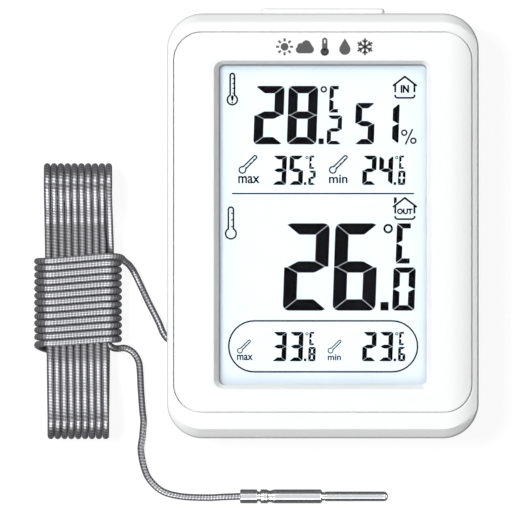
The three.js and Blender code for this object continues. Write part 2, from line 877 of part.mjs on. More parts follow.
for (const [side, word] of [[-1, 'left'], [1, 'right']]) {
  const magnet = pillar(magnetRadius, side * magnetX, magnetY, 0.2, 2.4);
  place(unit, `${word}_magnet`, magnet, magnetNickel);
  for (const [y, end] of [[caseScrewYs[0], 'upper'], [caseScrewYs[1], 'lower']]) {
    const caseScrew = screw(side * caseScrewX, y, 2, 2.3, 1.8, 0.95, 11);
    place(unit, `${end}_${word}_case_screw`, caseScrew, tinnedSteel);
  }
  for (const [sign, end] of [[1, 'upper'], [-1, 'lower']]) {
    const headZ = boardZ - touchGap - 1.3;
    const boardScrew = screw(side * boardScrewX, sign * boardScrewY, headZ, 1.8, 1.3, 0.8, 5);
    place(unit, `${end}_${word}_board_screw`, boardScrew, tinnedSteel);
  }
}

place(unit, 'cable_grommet', cableGrommet(), greyRubber);
const innerRoute = [
  [cableExit.x - grommetLength + 0.2, cableExit.y, cableExit.z],
  [cableExit.x + 3, cableExit.y, cableExit.z],
  [cableExit.x + 7, cableExit.y - 1, cableExit.z + 1.6],
  [-24, -34.5, 7.6],
  [-21, -37, 9],
  [-20, -38, 9.6],
];
place(unit, 'inner_cable', tubeAlong(innerRoute, 0.8, 14), cableBraid);
const connector = slab(3, 2, 10.4, boardZ - touchGap, -19, -39);
place(unit, 'sensor_connector', connector, sheetWhite);
const redRoute = [
  [-29, 26, 7],
  [-30.5, 24, 8.4],
  [-31, 16, 10],
  [-30, 6, 11.6],
  [-28, 0, 13.2],
];
const blackRoute = redRoute.map(([x, y, z]) => [x - 1.4, y - 4, z]);
place(unit, 'red_battery_wire', tubeAlong(redRoute, 0.5, 10), redInsulation);
place(unit, 'black_battery_wire', tubeAlong(blackRoute, 0.5, 10), blackInsulation);

place(part, 'cable_hank', cableHank(), cableBraid);
place(part, 'cable_lead', tubeAlong(leadRoute, cableRadius, 12), cableBraid);
place(part, 'probe_lead', tubeAlong(probeRoute, cableRadius, 22), cableBraid);
place(part, 'probe_ferrule', probeFerrule(), probeSteel);
place(part, 'probe_barrel', probeBarrel(), probeSteel);
place(part, 'probe_tip', probeTip(), probeSteel);
place(part, 'probe_bead', probeBead(), epoxyBlack);

export default part;
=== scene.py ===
"""Looks of an indoor and outdoor thermometer with a wired probe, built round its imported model.

Sizes are millimetres unless a name ends in _m, and meshes are made in metres.
+Z points out of the display, +Y to its top and +X to its right. The casing lies on its back.
Pieces of the casing are drawn about the casing's own middle; the cable and probe in the model's frame.
"""
import math

import bmesh
import bpy
import numpy as np
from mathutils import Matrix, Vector


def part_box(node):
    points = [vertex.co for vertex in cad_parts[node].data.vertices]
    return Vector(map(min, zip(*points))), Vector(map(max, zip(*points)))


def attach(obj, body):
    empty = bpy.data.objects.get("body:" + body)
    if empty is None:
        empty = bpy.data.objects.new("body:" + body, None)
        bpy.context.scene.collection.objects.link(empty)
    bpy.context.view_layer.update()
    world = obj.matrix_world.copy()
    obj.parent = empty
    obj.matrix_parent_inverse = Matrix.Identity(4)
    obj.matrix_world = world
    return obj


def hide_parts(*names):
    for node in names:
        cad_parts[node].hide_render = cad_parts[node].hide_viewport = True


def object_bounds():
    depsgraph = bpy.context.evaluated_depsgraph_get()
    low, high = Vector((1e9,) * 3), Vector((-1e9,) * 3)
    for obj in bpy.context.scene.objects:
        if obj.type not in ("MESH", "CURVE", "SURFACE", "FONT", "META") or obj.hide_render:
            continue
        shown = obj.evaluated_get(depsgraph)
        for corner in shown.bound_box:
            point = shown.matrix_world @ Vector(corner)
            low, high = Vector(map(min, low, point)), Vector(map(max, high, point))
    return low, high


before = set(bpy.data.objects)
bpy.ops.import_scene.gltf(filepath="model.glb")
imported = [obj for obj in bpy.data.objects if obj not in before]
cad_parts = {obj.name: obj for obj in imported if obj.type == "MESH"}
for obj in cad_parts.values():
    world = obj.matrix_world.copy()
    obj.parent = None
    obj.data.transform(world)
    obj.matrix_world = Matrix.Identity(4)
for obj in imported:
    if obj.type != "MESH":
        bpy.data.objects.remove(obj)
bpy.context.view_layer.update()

MM = 0.001


def mm_box(node):
    low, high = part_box(node)
    return low / MM, high / MM


def new_object(name, data):
    made = bpy.data.objects.new(name, data)
    bpy.context.scene.collection.objects.link(made)
    return made


case_low, case_high = mm_box("rear_case")
MIDDLE_Y = (case_low.y + case_high.y) / 2  # of the casing; the light button stands out of its top

# ---------------------------------------------------------------- camera

CAMERA_DISTANCE_M = 6.0
VIEW_WIDTH_M = 0.1325  # across the picture, at the height of the casing's front
SENSOR_WIDTH = 36.0
VIEW_RAISE_M = 0.00006


def make_camera():
    low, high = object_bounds()
    data = bpy.data.cameras.new("camera")
    data.sensor_width = SENSOR_WIDTH
    data.lens = SENSOR_WIDTH * CAMERA_DISTANCE_M / VIEW_WIDTH_M
    camera = new_object("camera", data)
    middle = (low + high) / 2
    front_m = case_high.z * MM
    camera.location = (middle.x, middle.y + VIEW_RAISE_M, front_m + CAMERA_DISTANCE_M)
    bpy.context.scene.camera = camera


make_camera()

# ---------------------------------------------------------------- shader helpers


def add(tree, kind, inputs=None, **settings):
    """A new node. An input given as another node's socket is linked to it."""
    node = tree.nodes.new(kind)
    for key, value in settings.items():
        setattr(node, key, value)
    for key, value in (inputs or {}).items():
        if isinstance(value, bpy.types.NodeSocket):
            tree.links.new(value, node.inputs[key])
        else:
            node.inputs[key].default_value = value
    return node


def math_node(tree, operation, first, second=0.0):
    return add(tree, "ShaderNodeMath", {0: first, 1: second}, operation=operation).outputs[0]


def plus(tree, first, second):
    return math_node(tree, "ADD", first, second)


def times(tree, first, second):
    return math_node(tree, "MULTIPLY", first, second)


def blended(tree, first, second, share):
    """A share of the first number, and the rest of the second."""
    return plus(tree, times(tree, first, share), times(tree, second, 1 - share))


def spread(tree, value, low, high):
    """A number from 0 to 1, carried to the range from low to high."""
    node = add(tree, "ShaderNodeMapRange", {"Value": value, "To Min": low, "To Max": high})
    return node.outputs["Result"]


def noise(tree, vector, scale, detail=3.0, rough=0.5):
    """Scales are in cells per metre."""
    inputs = {"Vector": vector, "Scale": scale, "Detail": detail, "Roughness": rough}
    return add(tree, "ShaderNodeTexNoise", inputs).outputs["Fac"]


def ramp(tree, factor, stops):
    node = add(tree, "ShaderNodeValToRGB", {"Fac": factor})
    elements = node.color_ramp.elements
    while len(elements) < len(stops):
        elements.new(0.5)
    for element, (position, colour) in zip(elements, stops):
        element.position = position
        element.color = (*colour, 1.0)
    return node.outputs["Color"]


def new_material(name, **constants):
    """A material with a Principled surface, and the node tree, surface and object coordinates."""
    material = bpy.data.materials.new(name)
    material.use_nodes = True
    tree = material.node_tree
    surface = tree.nodes["Principled BSDF"]
    for key, value in constants.items():
        surface.inputs[key.replace("_", " ")].default_value = value
    where = add(tree, "ShaderNodeTexCoord").outputs["Object"]
    return material, tree, surface, where


def feed(surface, name, value):
    surface.id_data.links.new(value, surface.inputs[name])


def bump(tree, surface, height, distance_m, strength=1.0):
    node = add(tree, "ShaderNodeBump", {"Height": height, "Distance": distance_m, "Strength": strength})
    feed(surface, "Normal", node.outputs["Normal"])


def tinted(colour, share):
    return tuple(min(1.0, channel * share) for channel in colour)


def mottled(tree, surface, factor, colour, mottle):
    """A colour that is a little darker where the factor is low, and lighter where it is high."""
    stops = [(0.3, tinted(colour, 1 - mottle)), (0.7, tinted(colour, 1 + mottle))]
    feed(surface, "Base Color", ramp(tree, factor, stops))


def moulded(name, colour, roughness, grain=900.0, depth_m=0.00002, mottle=0.02, **constants):
    """Moulded plastic or rubber: a fine grain, slow changes of tone and a little uneven gloss."""
    material, tree, surface, where = new_material(name, **constants)
    slow = noise(tree, where, 28.0, 4.0)
    fine = noise(tree, where, grain, 2.0)
    mottled(tree, surface, slow, colour, mottle)
    gloss = blended(tree, slow, fine, 0.6)
    feed(surface, "Roughness", spread(tree, gloss, roughness * 0.8, roughness * 1.2))
    bump(tree, surface, fine, depth_m)
    return material


def metal(name, colour, roughness, stretch=(1.0, 1.0, 1.0), grain=600.0, depth_m=0.000008, mottle=0.06):
    """Drawn, turned or plated metal. The grain is stretched along the axis with the small number."""
    material, tree, surface, where = new_material(name, Metallic=1.0)
    laid = add(tree, "ShaderNodeMapping", {"Vector": where, "Scale": stretch}).outputs["Vector"]
    fine = noise(tree, laid, grain, 3.0, 0.6)
    blend = blended(tree, fine, noise(tree, where, 60.0), 0.5)
    mottled(tree, surface, blend, colour, mottle)
    feed(surface, "Roughness", spread(tree, blend, roughness * 0.7, roughness * 1.3))
    bump(tree, surface, fine, depth_m)
    return material


def braid_material():
    """Bare metal braid. The map runs once round the cable, and a unit for each ridge along it."""
    material, tree, surface, where = new_material("cable_braid", Metallic=0.8)
    split = add(tree, "ShaderNodeSeparateXYZ", {"Vector": add(tree, "ShaderNodeUVMap").outputs["UV"]})
    around = times(tree, split.outputs["X"], math.tau)
    along = times(tree, split.outputs["Y"], math.tau)
    ridges_and_valley_shade = spread(tree, math_node(tree, "COSINE", plus(tree, along, around)), -0.5, 1.0)
    strands = times(tree, around, BRAID_STRANDS)
    fine_along = times(tree, along, 2.0)
    one = math_node(tree, "SINE", plus(tree, strands, fine_along))
    other = math_node(tree, "SINE", math_node(tree, "SUBTRACT", strands, fine_along))
    weave = times(tree, math_node(tree, "MAXIMUM", one, other), 0.18)
    dull = noise(tree, where, 90.0)
    # The base colour follows the ridges: painted highlight on their crests and painted shade in the valleys
    # between them, over random dullness.
    painted_shade_and_tone = plus(tree, ridges_and_valley_shade, times(tree, dull, 0.5))
    feed(surface, "Base Color", ramp(tree, painted_shade_and_tone, [(0.0, (0.25, 0.25, 0.27)), (1.0, (0.52, 0.52, 0.53))]))
    feed(surface, "Roughness", spread(tree, dull, 0.24, 0.34))
    bump(tree, surface, plus(tree, ridges_and_valley_shade, weave), 0.00004, 0.22)
    return material


def lens_material():
    """Clear acrylic. The low index stands for its coat against reflections."""
    constants = {"IOR": 1.1, "Transmission_Weight": 1.0, "Base_Color": (0.97, 0.985, 1.0, 1.0)}
    material, tree, surface, where = new_material("window_clear", **constants)
    feed(surface, "Roughness", spread(tree, noise(tree, where, 40.0), 0.0, 0.03))
    return material


# The glow stands for the display's backlight. It is also painted light, standing in for the lamp light that
# the clear window keeps off the glass.
SCREEN_GLOW = 0.36


def screen_material():
    """Lit glass, with painted shade that darkens it towards the edges of the window and stands for the
    bevel's shadow.
    """
    constants = {"Roughness": 0.25, "Emission_Strength": SCREEN_GLOW}
    material, tree, surface, where = new_material("display_lit", **constants)
    split = add(tree, "ShaderNodeSeparateXYZ", {"Vector": where})
    half_x, half_y, _, window_y = WINDOW_INNER
    from_middle = math_node(tree, "SUBTRACT", split.outputs["Y"], (MIDDLE_Y + window_y) * MM)
    # Painted shade: both colours of the glass are darkened towards each edge of the window, where the bevel's
    # shadow falls.
    edges = []
    for reach, half, power in ((split.outputs["X"], half_x, 9.0), (from_middle, half_y, 16.0)):
        share = math_node(tree, "DIVIDE", math_node(tree, "ABSOLUTE", reach), half * MM)
        edges.append(math_node(tree, "POWER", share, power))
    cloudy = times(tree, noise(tree, where, 30.0), 0.1)
    painted_shade_and_tone = plus(tree, math_node(tree, "MAXIMUM", *edges), cloudy)
    feed(surface, "Emission Color", ramp(tree, painted_shade_and_tone, [(0.0, (0.87, 0.94, 1.0)), (1.0, (0.8, 0.87, 0.92))]))
    feed(surface, "Base Color", ramp(tree, painted_shade_and_tone, [(0.0, (0.37, 0.4, 0.43)), (1.0, (0.31, 0.35, 0.38))]))
    return material


def board_material():
    """Solder mask over copper tracks, which show as a paler green net."""
    material, tree, surface, where = new_material("board_mask", Roughness=0.35)
    cells = add(tree, "ShaderNodeTexVoronoi", {"Vector": where, "Scale": 160.0}, distance="MANHATTAN")
    net = cells.outputs["Distance"]
    feed(surface, "Base Color", ramp(tree, net, [(0.42, (0.012, 0.11, 0.045)), (0.5, (0.03, 0.2, 0.09))]))
    bump(tree, surface, net, 0.00003)
    return material


def cell_material():
    """A dry cell's sleeve: dark along most of its length and copper coloured at one end."""
    material, tree, surface, where = new_material("cell_sleeve", Metallic=0.6)
    along = add(tree, "ShaderNodeSeparateXYZ", {"Vector": where}).outputs["X"]
    share = spread(tree, times(tree, along, 20.0), 0.5, 1.0)
    feed(surface, "Base Color", ramp(tree, share, [(0.6, (0.03, 0.04, 0.05)), (0.63, (0.45, 0.2, 0.08))]))
    feed(surface, "Roughness", spread(tree, noise(tree, where, 200.0), 0.2, 0.34))
    return material


# ---------------------------------------------------------------- mesh helpers


class Shape:
    """Vertices and faces in millimetres, gathered before they become one mesh."""

    def __init__(self):
        self.vertices = []
        self.faces = []

    def add(self, vertices, faces):
        first = len(self.vertices)
        self.vertices.extend(vertices)
        self.faces.extend([first + index for index in face] for face in faces)

    def loft(self, rings, closed=False):
        """Joins rings of equally many points. An open loft is capped at both ends."""
        size = len(rings[0])
        faces = []
        for row in range(len(rings) if closed else len(rings) - 1):
            here = row * size
            there = (row + 1) % len(rings) * size
            for step in range(size):
                after = (step + 1) % size
                faces.append((here + step, here + after, there + after, there + step))
        if not closed:
            faces.append(tuple(reversed(range(size))))
            faces.append(tuple(range(len(rings) * size - size, len(rings) * size)))
        self.add([point for ring in rings for point in ring], faces)
        return self

    def box(self, x0, x1, y0, y1, z0, z1):
        base = [(x0, y0), (x1, y0), (x1, y1), (x0, y1)]
        return self.loft([[(x, y, z) for x, y in base] for z in (z0, z1)])

    def pillar(self, radius, x, y, z0, z1, sides=32):
        return self.turned([(z0, radius), (z1, radius)], (x, y, 0), "z", sides)

    def turned(self, profile, at, axis, sides=48, closed=False):
        """A profile of (along, radius) turned round an axis through the point at."""
        rings = []
        for along, radius in profile:
            ring = []
            for step in range(sides):
                angle = math.tau * step / sides
                u, v = radius * math.cos(angle), radius * math.sin(angle)
                offset = {"x": (along, u, v), "y": (v, along, u), "z": (u, v, along)}[axis]
                ring.append(tuple(a + b for a, b in zip(at, offset)))
            rings.append(ring)
        return self.loft(rings, closed)


def rounded_ring(half_x, half_y, radius, z, x=0.0, y=0.0, steps=24):
    """A rounded rectangle as a ring of points. z is a height, or a function of x and y."""
    ring = []
    for quarter, (side_x, side_y) in enumerate(((1, 1), (-1, 1), (-1, -1), (1, -1))):
        for step in range(steps + 1):
            angle = (quarter + step / steps) * math.pi / 2
            px = x + side_x * (half_x - radius) + radius * math.cos(angle)
            py = y + side_y * (half_y - radius) + radius * math.sin(angle)
            ring.append((px, py, z(px, py) if callable(z) else z))
    return ring


def stack(half_x, half_y, corner, levels, x=0.0, y=0.0, steps=24):
    """Rounded rectangles one above the other: each level is how far it grows, and its height."""
    rings = []
    for grow, z in levels:
        rings.append(rounded_ring(half_x + grow, half_y + grow, corner + grow, z, x, y, steps))
    return rings


def turned_to(axis, rings):
    """Rings drawn flat, turned so that their height runs along the x or the y axis."""
    if axis == "x":
        return [[(z, x, y) for x, y, z in ring] for ring in rings]
    return [[(x, z, y) for x, y, z in ring] for ring in rings]


def below(surface, drop):
    """The height of a surface less a drop, as a function of x and y."""
    return lambda x, y: surface(x, y) - drop


def tidy_mesh(mesh, smooth_angle):
    work = bmesh.new()
    work.from_mesh(mesh)
    bmesh.ops.remove_doubles(work, verts=work.verts, dist=1e-7)
    bmesh.ops.dissolve_degenerate(work, edges=work.edges, dist=1e-7)
    bmesh.ops.recalc_face_normals(work, faces=work.faces)
    work.to_mesh(mesh)
    work.free()
    mesh.shade_smooth()
    mesh.set_sharp_from_angle(angle=math.radians(smooth_angle))


def make(name, shape, at=(0.0, 0.0, 0.0)):
    mesh = bpy.data.meshes.new(name)
    shift = Vector(at)
    mesh.from_pydata([(Vector(v) + shift) * MM for v in shape.vertices], [], shape.faces)
    tidy_mesh(mesh, 30)
    return new_object(name, mesh)


IN_CASE = (0.0, MIDDLE_Y, 0.0)


def combine(target, shape, operation):
    """Joins a shape of separate closed bodies to a casing piece, or cuts it away."""
    tool = make("tool", shape, IN_CASE)
    change = target.modifiers.new("change", "BOOLEAN")
    change.operation = operation
    change.solver = "EXACT"
    change.object = tool
    evaluated = target.evaluated_get(bpy.context.evaluated_depsgraph_get())
    mesh = bpy.data.meshes.new_from_object(evaluated)
    target.modifiers.clear()
    target.data = mesh
    bpy.data.objects.remove(tool)


def finish_piece(piece, material, body, slot, *nodes, smooth_angle=30):
    """Gives a piece its finish and its body, and hides the model's nodes that it stands for."""
    piece.data.materials.clear()
    piece.data.materials.append(material)
    tidy_mesh(piece.data, smooth_angle)
    even = piece.modifiers.new("even_normals", "WEIGHTED_NORMAL")
    even.keep_sharp = True
    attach(piece, body)
    if nodes:
        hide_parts(*nodes)
    return piece


# ---------------------------------------------------------------- cable

CABLE_DIAMETER = 1.75
CABLE_RADIUS = CABLE_DIAMETER / 2
CABLE_SIDES = 11
RIDGE_PITCH = 0.8
RIDGE_DEPTH = 0.014  # as a share of the radius
RINGS_PER_RIDGE = 3
BRAID_STRANDS = 6

LEAD_ROUTE = [
    (-38.2, -30.4, 4.6), (-38.9, -30.4, 4.55), (-40.3, -29.9, 4.3), (-41.5, -28.2, 3.7), (-42.4, -26.0, 2.9),
    (-43.7, -23.4, 2.0), (-45.3, -20.3, 1.3), (-47.1, -16.4, 1.15), (-48.9, -12.7, 2.4), (-50.2, -10.8, 3.9),
    (-51.3, -9.9, 5.1), (-52.4, -8.85, 6.4), (-54.3, -8.55, 8.1),
]
WAIST_LEFT, WAIST_RIGHT = -70.05, -56.93  # where the winding's flat top meets its round sides
WAIST_BEND = 4.0
WAIST_Z = WAIST_BEND + CABLE_RADIUS
WINDINGS = 13
RIGHT_END_Y, RIGHT_PITCH = -8.60, 1.798
LEFT_END_Y, LEFT_PITCH = -9.71, 1.782
UNDER_ROUTE = [  # from the last turn, under the hank, to where its first loop starts
    (-72.4, -31.17, 8.11), (-73.85, -31.4, 6.11), (-73.85, -31.85, 3.64), (-72.4, -32.5, 1.64),
    (-70.05, -33.1, 0.9), (-68.14, -33.07, 1.0), (-66.64, -32.29, 1.45), (-65.62, -30.95, 2.2),
    (-65.25, -29.2, 2.65), (-65.25, -26.4, 2.75), (-65.9, -21.0, 2.75), (-67.2, -16.0, 2.75),
    (-68.9, -11.0, 2.7), (-70.3, -6.5, 2.35), (-71.1, -2.0, 1.6), (-71.42, 2.0, 1.08), (-71.49, 5.8, 0.92),
]
FOLDS = 10
TOP_FOLD_X, TOP_FOLD_PITCH = -71.49, 1.7745
LOW_FOLD_X, LOW_FOLD_PITCH = -70.53, 1.779
FOLD_RADIUS = 3 * CABLE_DIAMETER
FOLD_Z = FOLD_RADIUS + CABLE_RADIUS
TOP_FOLD_Y, LOW_FOLD_Y = 9.555, -49.885
WAIST_LAYER = 2.25  # how far the upper layer of the loops lies above the middle of the waist
LOWER_LEFT_X, LOWER_RIGHT_X = -67.0, -59.0  # between these the lower layer slopes down to the right
LOWER_LEFT_Z, LOWER_RIGHT_Z = 4.95, 2.8
WAIST_TOP_Y, WAIST_LOW_Y = -1.0, -34.5
DIVE_ROUTE = [
    (-55.4, 4.5, 10.5), (-55.2, -1.5, 8.4), (-55.05, -6.5, 6.2), (-55.2, -10.5, 5.2), (-55.9, -15.5, 4.9),
    (-56.9, -21.0, 4.875), (-57.3, -25.8, 4.8), (-56.9, -29.2, 4.75), (-55.6, -31.4, 4.45),
    (-54.3, -32.3, 3.45),
]
PROBE_ROUTE = [
    (-53.2, -32.5, 2.4), (-51.2, -32.4, 1.5), (-49.2, -33.5, 1.0), (-47.8, -35.8, 0.95), (-47.4, -38.6, 0.95),
    (-47.2, -42.8, 0.95), (-46.8, -48.4, 0.95), (-46.5, -51.3, 0.95), (-46.8, -55.4, 0.95),
    (-47.2, -58.8, 0.95), (-46.4, -63.3, 0.95), (-44.8, -66.7, 0.95), (-41.5, -69.6, 0.95),
    (-36.6, -70.9, 0.95), (-29.9, -71.2, 1.2), (-25.5, -71.0, 1.7), (-21.7, -70.87, 1.8),
    (-20.9, -70.87, 1.8),
]


def mix(a, b, share):
    return a + (b - a) * share


def ease(share):
    share = min(1.0, max(0.0, share))
    return share * share * (3 - 2 * share)


def winding_points():
    """The turns round the waist: over the top to the left, and back underneath."""
    points = []
    steps = 5
    for turn in range(WINDINGS):
        right_y = RIGHT_END_Y - RIGHT_PITCH * turn
        left_y = LEFT_END_Y - LEFT_PITCH * turn
        for step in range(4):
            share = step / 3
            x = mix(WAIST_RIGHT, WAIST_LEFT, share)
            points.append((x, mix(right_y, left_y, share), WAIST_Z + WAIST_BEND))
        if turn == WINDINGS - 1:
            return points
        next_y = right_y - RIGHT_PITCH
        way = []
        for step in range(1, steps + 1):
            angle = math.pi / 2 + math.pi * step / steps
            way.append((WAIST_LEFT + WAIST_BEND * math.cos(angle), WAIST_Z + WAIST_BEND * math.sin(angle)))
        way.append((mix(WAIST_LEFT, WAIST_RIGHT, 0.35), CABLE_RADIUS))
        way.append((mix(WAIST_LEFT, WAIST_RIGHT, 0.7), CABLE_RADIUS))
        for step in range(steps):
            angle = -math.pi / 2 + math.pi * step / steps
            way.append((WAIST_RIGHT + WAIST_BEND * math.cos(angle), WAIST_Z + WAIST_BEND * math.sin(angle)))
        for index, (x, z) in enumerate(way):
            points.append((x, mix(left_y, next_y, (index + 1) / (len(way) + 1)), z))
    return points


def strand_height(x, y, side):
    """Height of a loop's strand. side is 1 for the upper layer and -1 for the lower one."""
    open_share = max(
        ease((y - WAIST_TOP_Y) / (TOP_FOLD_Y - WAIST_TOP_Y)),
        ease((WAIST_LOW_Y - y) / (WAIST_LOW_Y - LOW_FOLD_Y)),
    )
    if side > 0:
        beyond = max(0.0, WAIST_LEFT - x, x - WAIST_RIGHT)
        tied = WAIST_Z + math.sqrt(WAIST_LAYER**2 - min(beyond, WAIST_LAYER) ** 2)
    else:
        across = (x - LOWER_LEFT_X) / (LOWER_RIGHT_X - LOWER_LEFT_X)
        tied = mix(LOWER_LEFT_Z, LOWER_RIGHT_Z, ease(across))
    return mix(tied, FOLD_Z + side * FOLD_RADIUS, open_share)


def strand_points(x0, x1, y0, y1, side):
    points = []
    count = 13
    for step in range(count + 1):
        share = step / count
        x, y = mix(x0, x1, share), mix(y0, y1, share)
        points.append((x, y, strand_height(x, y, side)))
    return points


def fold_points(x, y, end, upwards):
    """Half a turn at one end of the hank; end is 1 at the top and -1 at the bottom."""
    points = []
    count = 6
    for step in range(1, count):
        angle = math.pi * step / count - math.pi / 2
        if not upwards:
            angle = -angle
        points.append((x, y + end * FOLD_RADIUS * math.cos(angle), FOLD_Z + FOLD_RADIUS * math.sin(angle)))
    return points


def hank_points():
    points = []
    for loop in range(FOLDS):
        top_x = TOP_FOLD_X + TOP_FOLD_PITCH * loop
        low_x = LOW_FOLD_X + LOW_FOLD_PITCH * loop
        if loop == 0:
            points.append((top_x, TOP_FOLD_Y, CABLE_RADIUS))
        points += fold_points(top_x, TOP_FOLD_Y, 1, True)
        if loop == FOLDS - 1:
            points.append((top_x, TOP_FOLD_Y, FOLD_Z + FOLD_RADIUS))
            return points
        points += strand_points(top_x, low_x, TOP_FOLD_Y, LOW_FOLD_Y, 1)
        points += fold_points(low_x, LOW_FOLD_Y, -1, False)
        points += strand_points(low_x, top_x + TOP_FOLD_PITCH, LOW_FOLD_Y, TOP_FOLD_Y, -1)
    return points


def smooth_path(points, spacing):
    """A smooth curve through the points, as evenly spaced points along it."""
    knots = np.array(points, float)
    ends = (2 * knots[0] - knots[1], 2 * knots[-1] - knots[-2])
    knots = np.vstack([ends[0], knots, ends[1]])
    t = np.linspace(0, 1, 12, endpoint=False)[:, None]
    spans = []
    for index in range(1, len(knots) - 2):
        p0, p1, p2, p3 = knots[index - 1 : index + 3]
        bend = 2 * p0 - 5 * p1 + 4 * p2 - p3
        twist = 3 * p1 - p0 - 3 * p2 + p3
        spans.append(p1 + 0.5 * ((p2 - p0) * t + bend * t**2 + twist * t**3))
    dense = np.vstack([*spans, knots[-2][None]])
    reach = np.concatenate([[0], np.cumsum(np.linalg.norm(np.diff(dense, axis=0), axis=1))])
    count = int(reach[-1] / spacing)
    wanted = np.linspace(0, reach[-1], count + 1)
    return np.stack([np.interp(wanted, reach, dense[:, axis]) for axis in range(3)], 1), reach[-1]


def tube_frame(line):
    """Two directions across the line at each of its points. They turn only as the line does."""
    ahead = np.gradient(line, axis=0)
    ahead /= np.linalg.norm(ahead, axis=1)[:, None]
    side = np.zeros_like(line)
    side[0] = np.cross(ahead[0], (0, 0, 1))
    for index in range(1, len(line)):
        turned = side[index - 1] - ahead[index] * np.dot(side[index - 1], ahead[index])
        side[index] = turned / np.linalg.norm(turned)
    side[0] /= np.linalg.norm(side[0])
    return side, np.cross(ahead, side)


def add_braid_map(mesh, rings):
    """The map of the tube's sides. The two caps come last, and stay at its corner."""
    column = np.tile(np.arange(CABLE_SIDES), rings - 1)
    row = np.repeat(np.arange(rings - 1), CABLE_SIDES)
    u = np.stack([column, column + 1, column + 1, column], -1) / CABLE_SIDES
    v = np.stack([row, row, row + 1, row + 1], -1) / RINGS_PER_RIDGE
    points = np.zeros((len(mesh.loops), 2))
    points[: u.size] = np.stack([u, v], -1).reshape(-1, 2)
    mesh.uv_layers.new(name="UVMap").data.foreach_set("uv", points.ravel())


def make_cable(name, points):
    """A braided tube along the points, with ridges that run round it as a helix."""
    line, length = smooth_path(points, RIDGE_PITCH / RINGS_PER_RIDGE)
    line[:, 2] = np.maximum(line[:, 2], CABLE_RADIUS * (1 + RIDGE_DEPTH))
    side, up = tube_frame(line)
    angles = np.arange(CABLE_SIDES) * math.tau / CABLE_SIDES
    ridge = math.tau * np.arange(len(line))[:, None] / RINGS_PER_RIDGE + angles[None]
    radius = CABLE_RADIUS * (1 + RIDGE_DEPTH * np.cos(ridge))
    around = side[:, None] * np.cos(angles)[None, :, None] + up[:, None] * np.sin(angles)[None, :, None]
    vertices = (line[:, None] + around * radius[..., None]).reshape(-1, 3) * MM
    rows = np.arange(len(line) - 1)[:, None] * CABLE_SIDES
    here = rows + np.arange(CABLE_SIDES)
    after = rows + (np.arange(CABLE_SIDES) + 1) % CABLE_SIDES
    quads = np.stack([here, after, after + CABLE_SIDES, here + CABLE_SIDES], -1).reshape(-1, 4)
    last = (len(line) - 1) * CABLE_SIDES
    caps = [list(range(CABLE_SIDES))[::-1], [last + step for step in range(CABLE_SIDES)]]
    mesh = bpy.data.meshes.new(name)
    mesh.from_pydata(vertices.tolist(), [], quads.tolist() + caps)
    add_braid_map(mesh, len(line))
    mesh.shade_smooth()
    mesh.materials.append(braid_material())
    return new_object(name, mesh), line, length


cable, cable_line, cable_length = make_cable(
    "braided_cable",
    LEAD_ROUTE + winding_points() + UNDER_ROUTE + hank_points() + DIVE_ROUTE + PROBE_ROUTE,
)
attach(cable, "casing")
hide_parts("cable_hank", "cable_lead", "probe_lead")

# ---------------------------------------------------------------- probe

PROBE_Y, PROBE_Z = -70.87, 1.8
FERRULE_X, BARREL_X, TIP_X = -21.4, -12.3, 0.6  # where each part starts
TIP_LENGTH, TIP_RADIUS, NOSE_BEND = 16.33, 1.25, 1.05
CORE = 0.02  # radius at which a solid part's profile meets the axis
BORE = 0.93
# Profiles are (along, radius).
SLEEVE_PROFILE = [
    (0.0, BORE), (0.0, 1.62), (0.06, 1.75), (0.16, 1.8), (4.28, 1.8), (4.38, 1.75), (4.44, 1.62),
    (4.5, 1.34), (4.62, 1.26), (5.12, 1.26), (5.24, 1.34), (5.3, 1.62), (5.36, 1.75), (5.46, 1.8),
    (6.9, 1.8), (7.05, 1.77), (7.2, 1.66), (7.4, 1.54), (7.7, 1.5), (7.95, 1.52), (8.25, 1.62),
    (8.5, 1.72), (8.7, 1.77), (8.8, 1.78), (8.8, BORE - 0.2), (3.0, BORE - 0.2), (3.0, BORE),
]
BODY_PROFILE = [
    (-0.28, CORE), (-0.28, 1.76), (-0.2, 1.79), (-0.05, 1.8), (11.7, 1.8), (11.82, 1.76), (11.98, 1.6),
    (12.12, 1.4), (12.2, 1.22), (12.3, 1.12), (12.7, 1.1), (12.76, 1.04), (12.76, CORE),
]


def nose_profile():
    """A short collar, a straight tube and a round end."""
    profile = [(-0.12, CORE), (-0.12, 0.98), (0.0, 1.06), (0.12, 1.18), (0.26, 1.24), (0.4, TIP_RADIUS)]
    profile.append((TIP_LENGTH - NOSE_BEND, TIP_RADIUS))
    steps = 8
    for step in range(1, steps + 1):
        angle = math.pi / 2 * step / steps
        along = TIP_LENGTH - NOSE_BEND * (1 - math.sin(angle))
        profile.append((along, TIP_RADIUS - NOSE_BEND * (1 - math.cos(angle))))
    return [*profile, (TIP_LENGTH, CORE)]


def make_probe():
    steel = metal("probe_steel", (0.8, 0.81, 0.82), 0.1, (0.15, 1.0, 1.0), 500.0, 0.0000002, 0.02)
    pieces = []
    for name, node, start, profile, hollow in (
        ("probe_sleeve", "probe_ferrule", FERRULE_X, SLEEVE_PROFILE, True),
        ("probe_body", "probe_barrel", BARREL_X, BODY_PROFILE, False),
        ("probe_nose", "probe_tip", TIP_X, nose_profile(), False),
    ):
        placed = [(start + along, radius) for along, radius in profile]
        piece = make(name, Shape().turned(placed, (0.0, PROBE_Y, PROBE_Z), "x", closed=hollow))
        pieces.append(finish_piece(piece, steel, "casing", "probe_steel", node, smooth_angle=40))
    return pieces


probe = make_probe()

# ---------------------------------------------------------------- casing

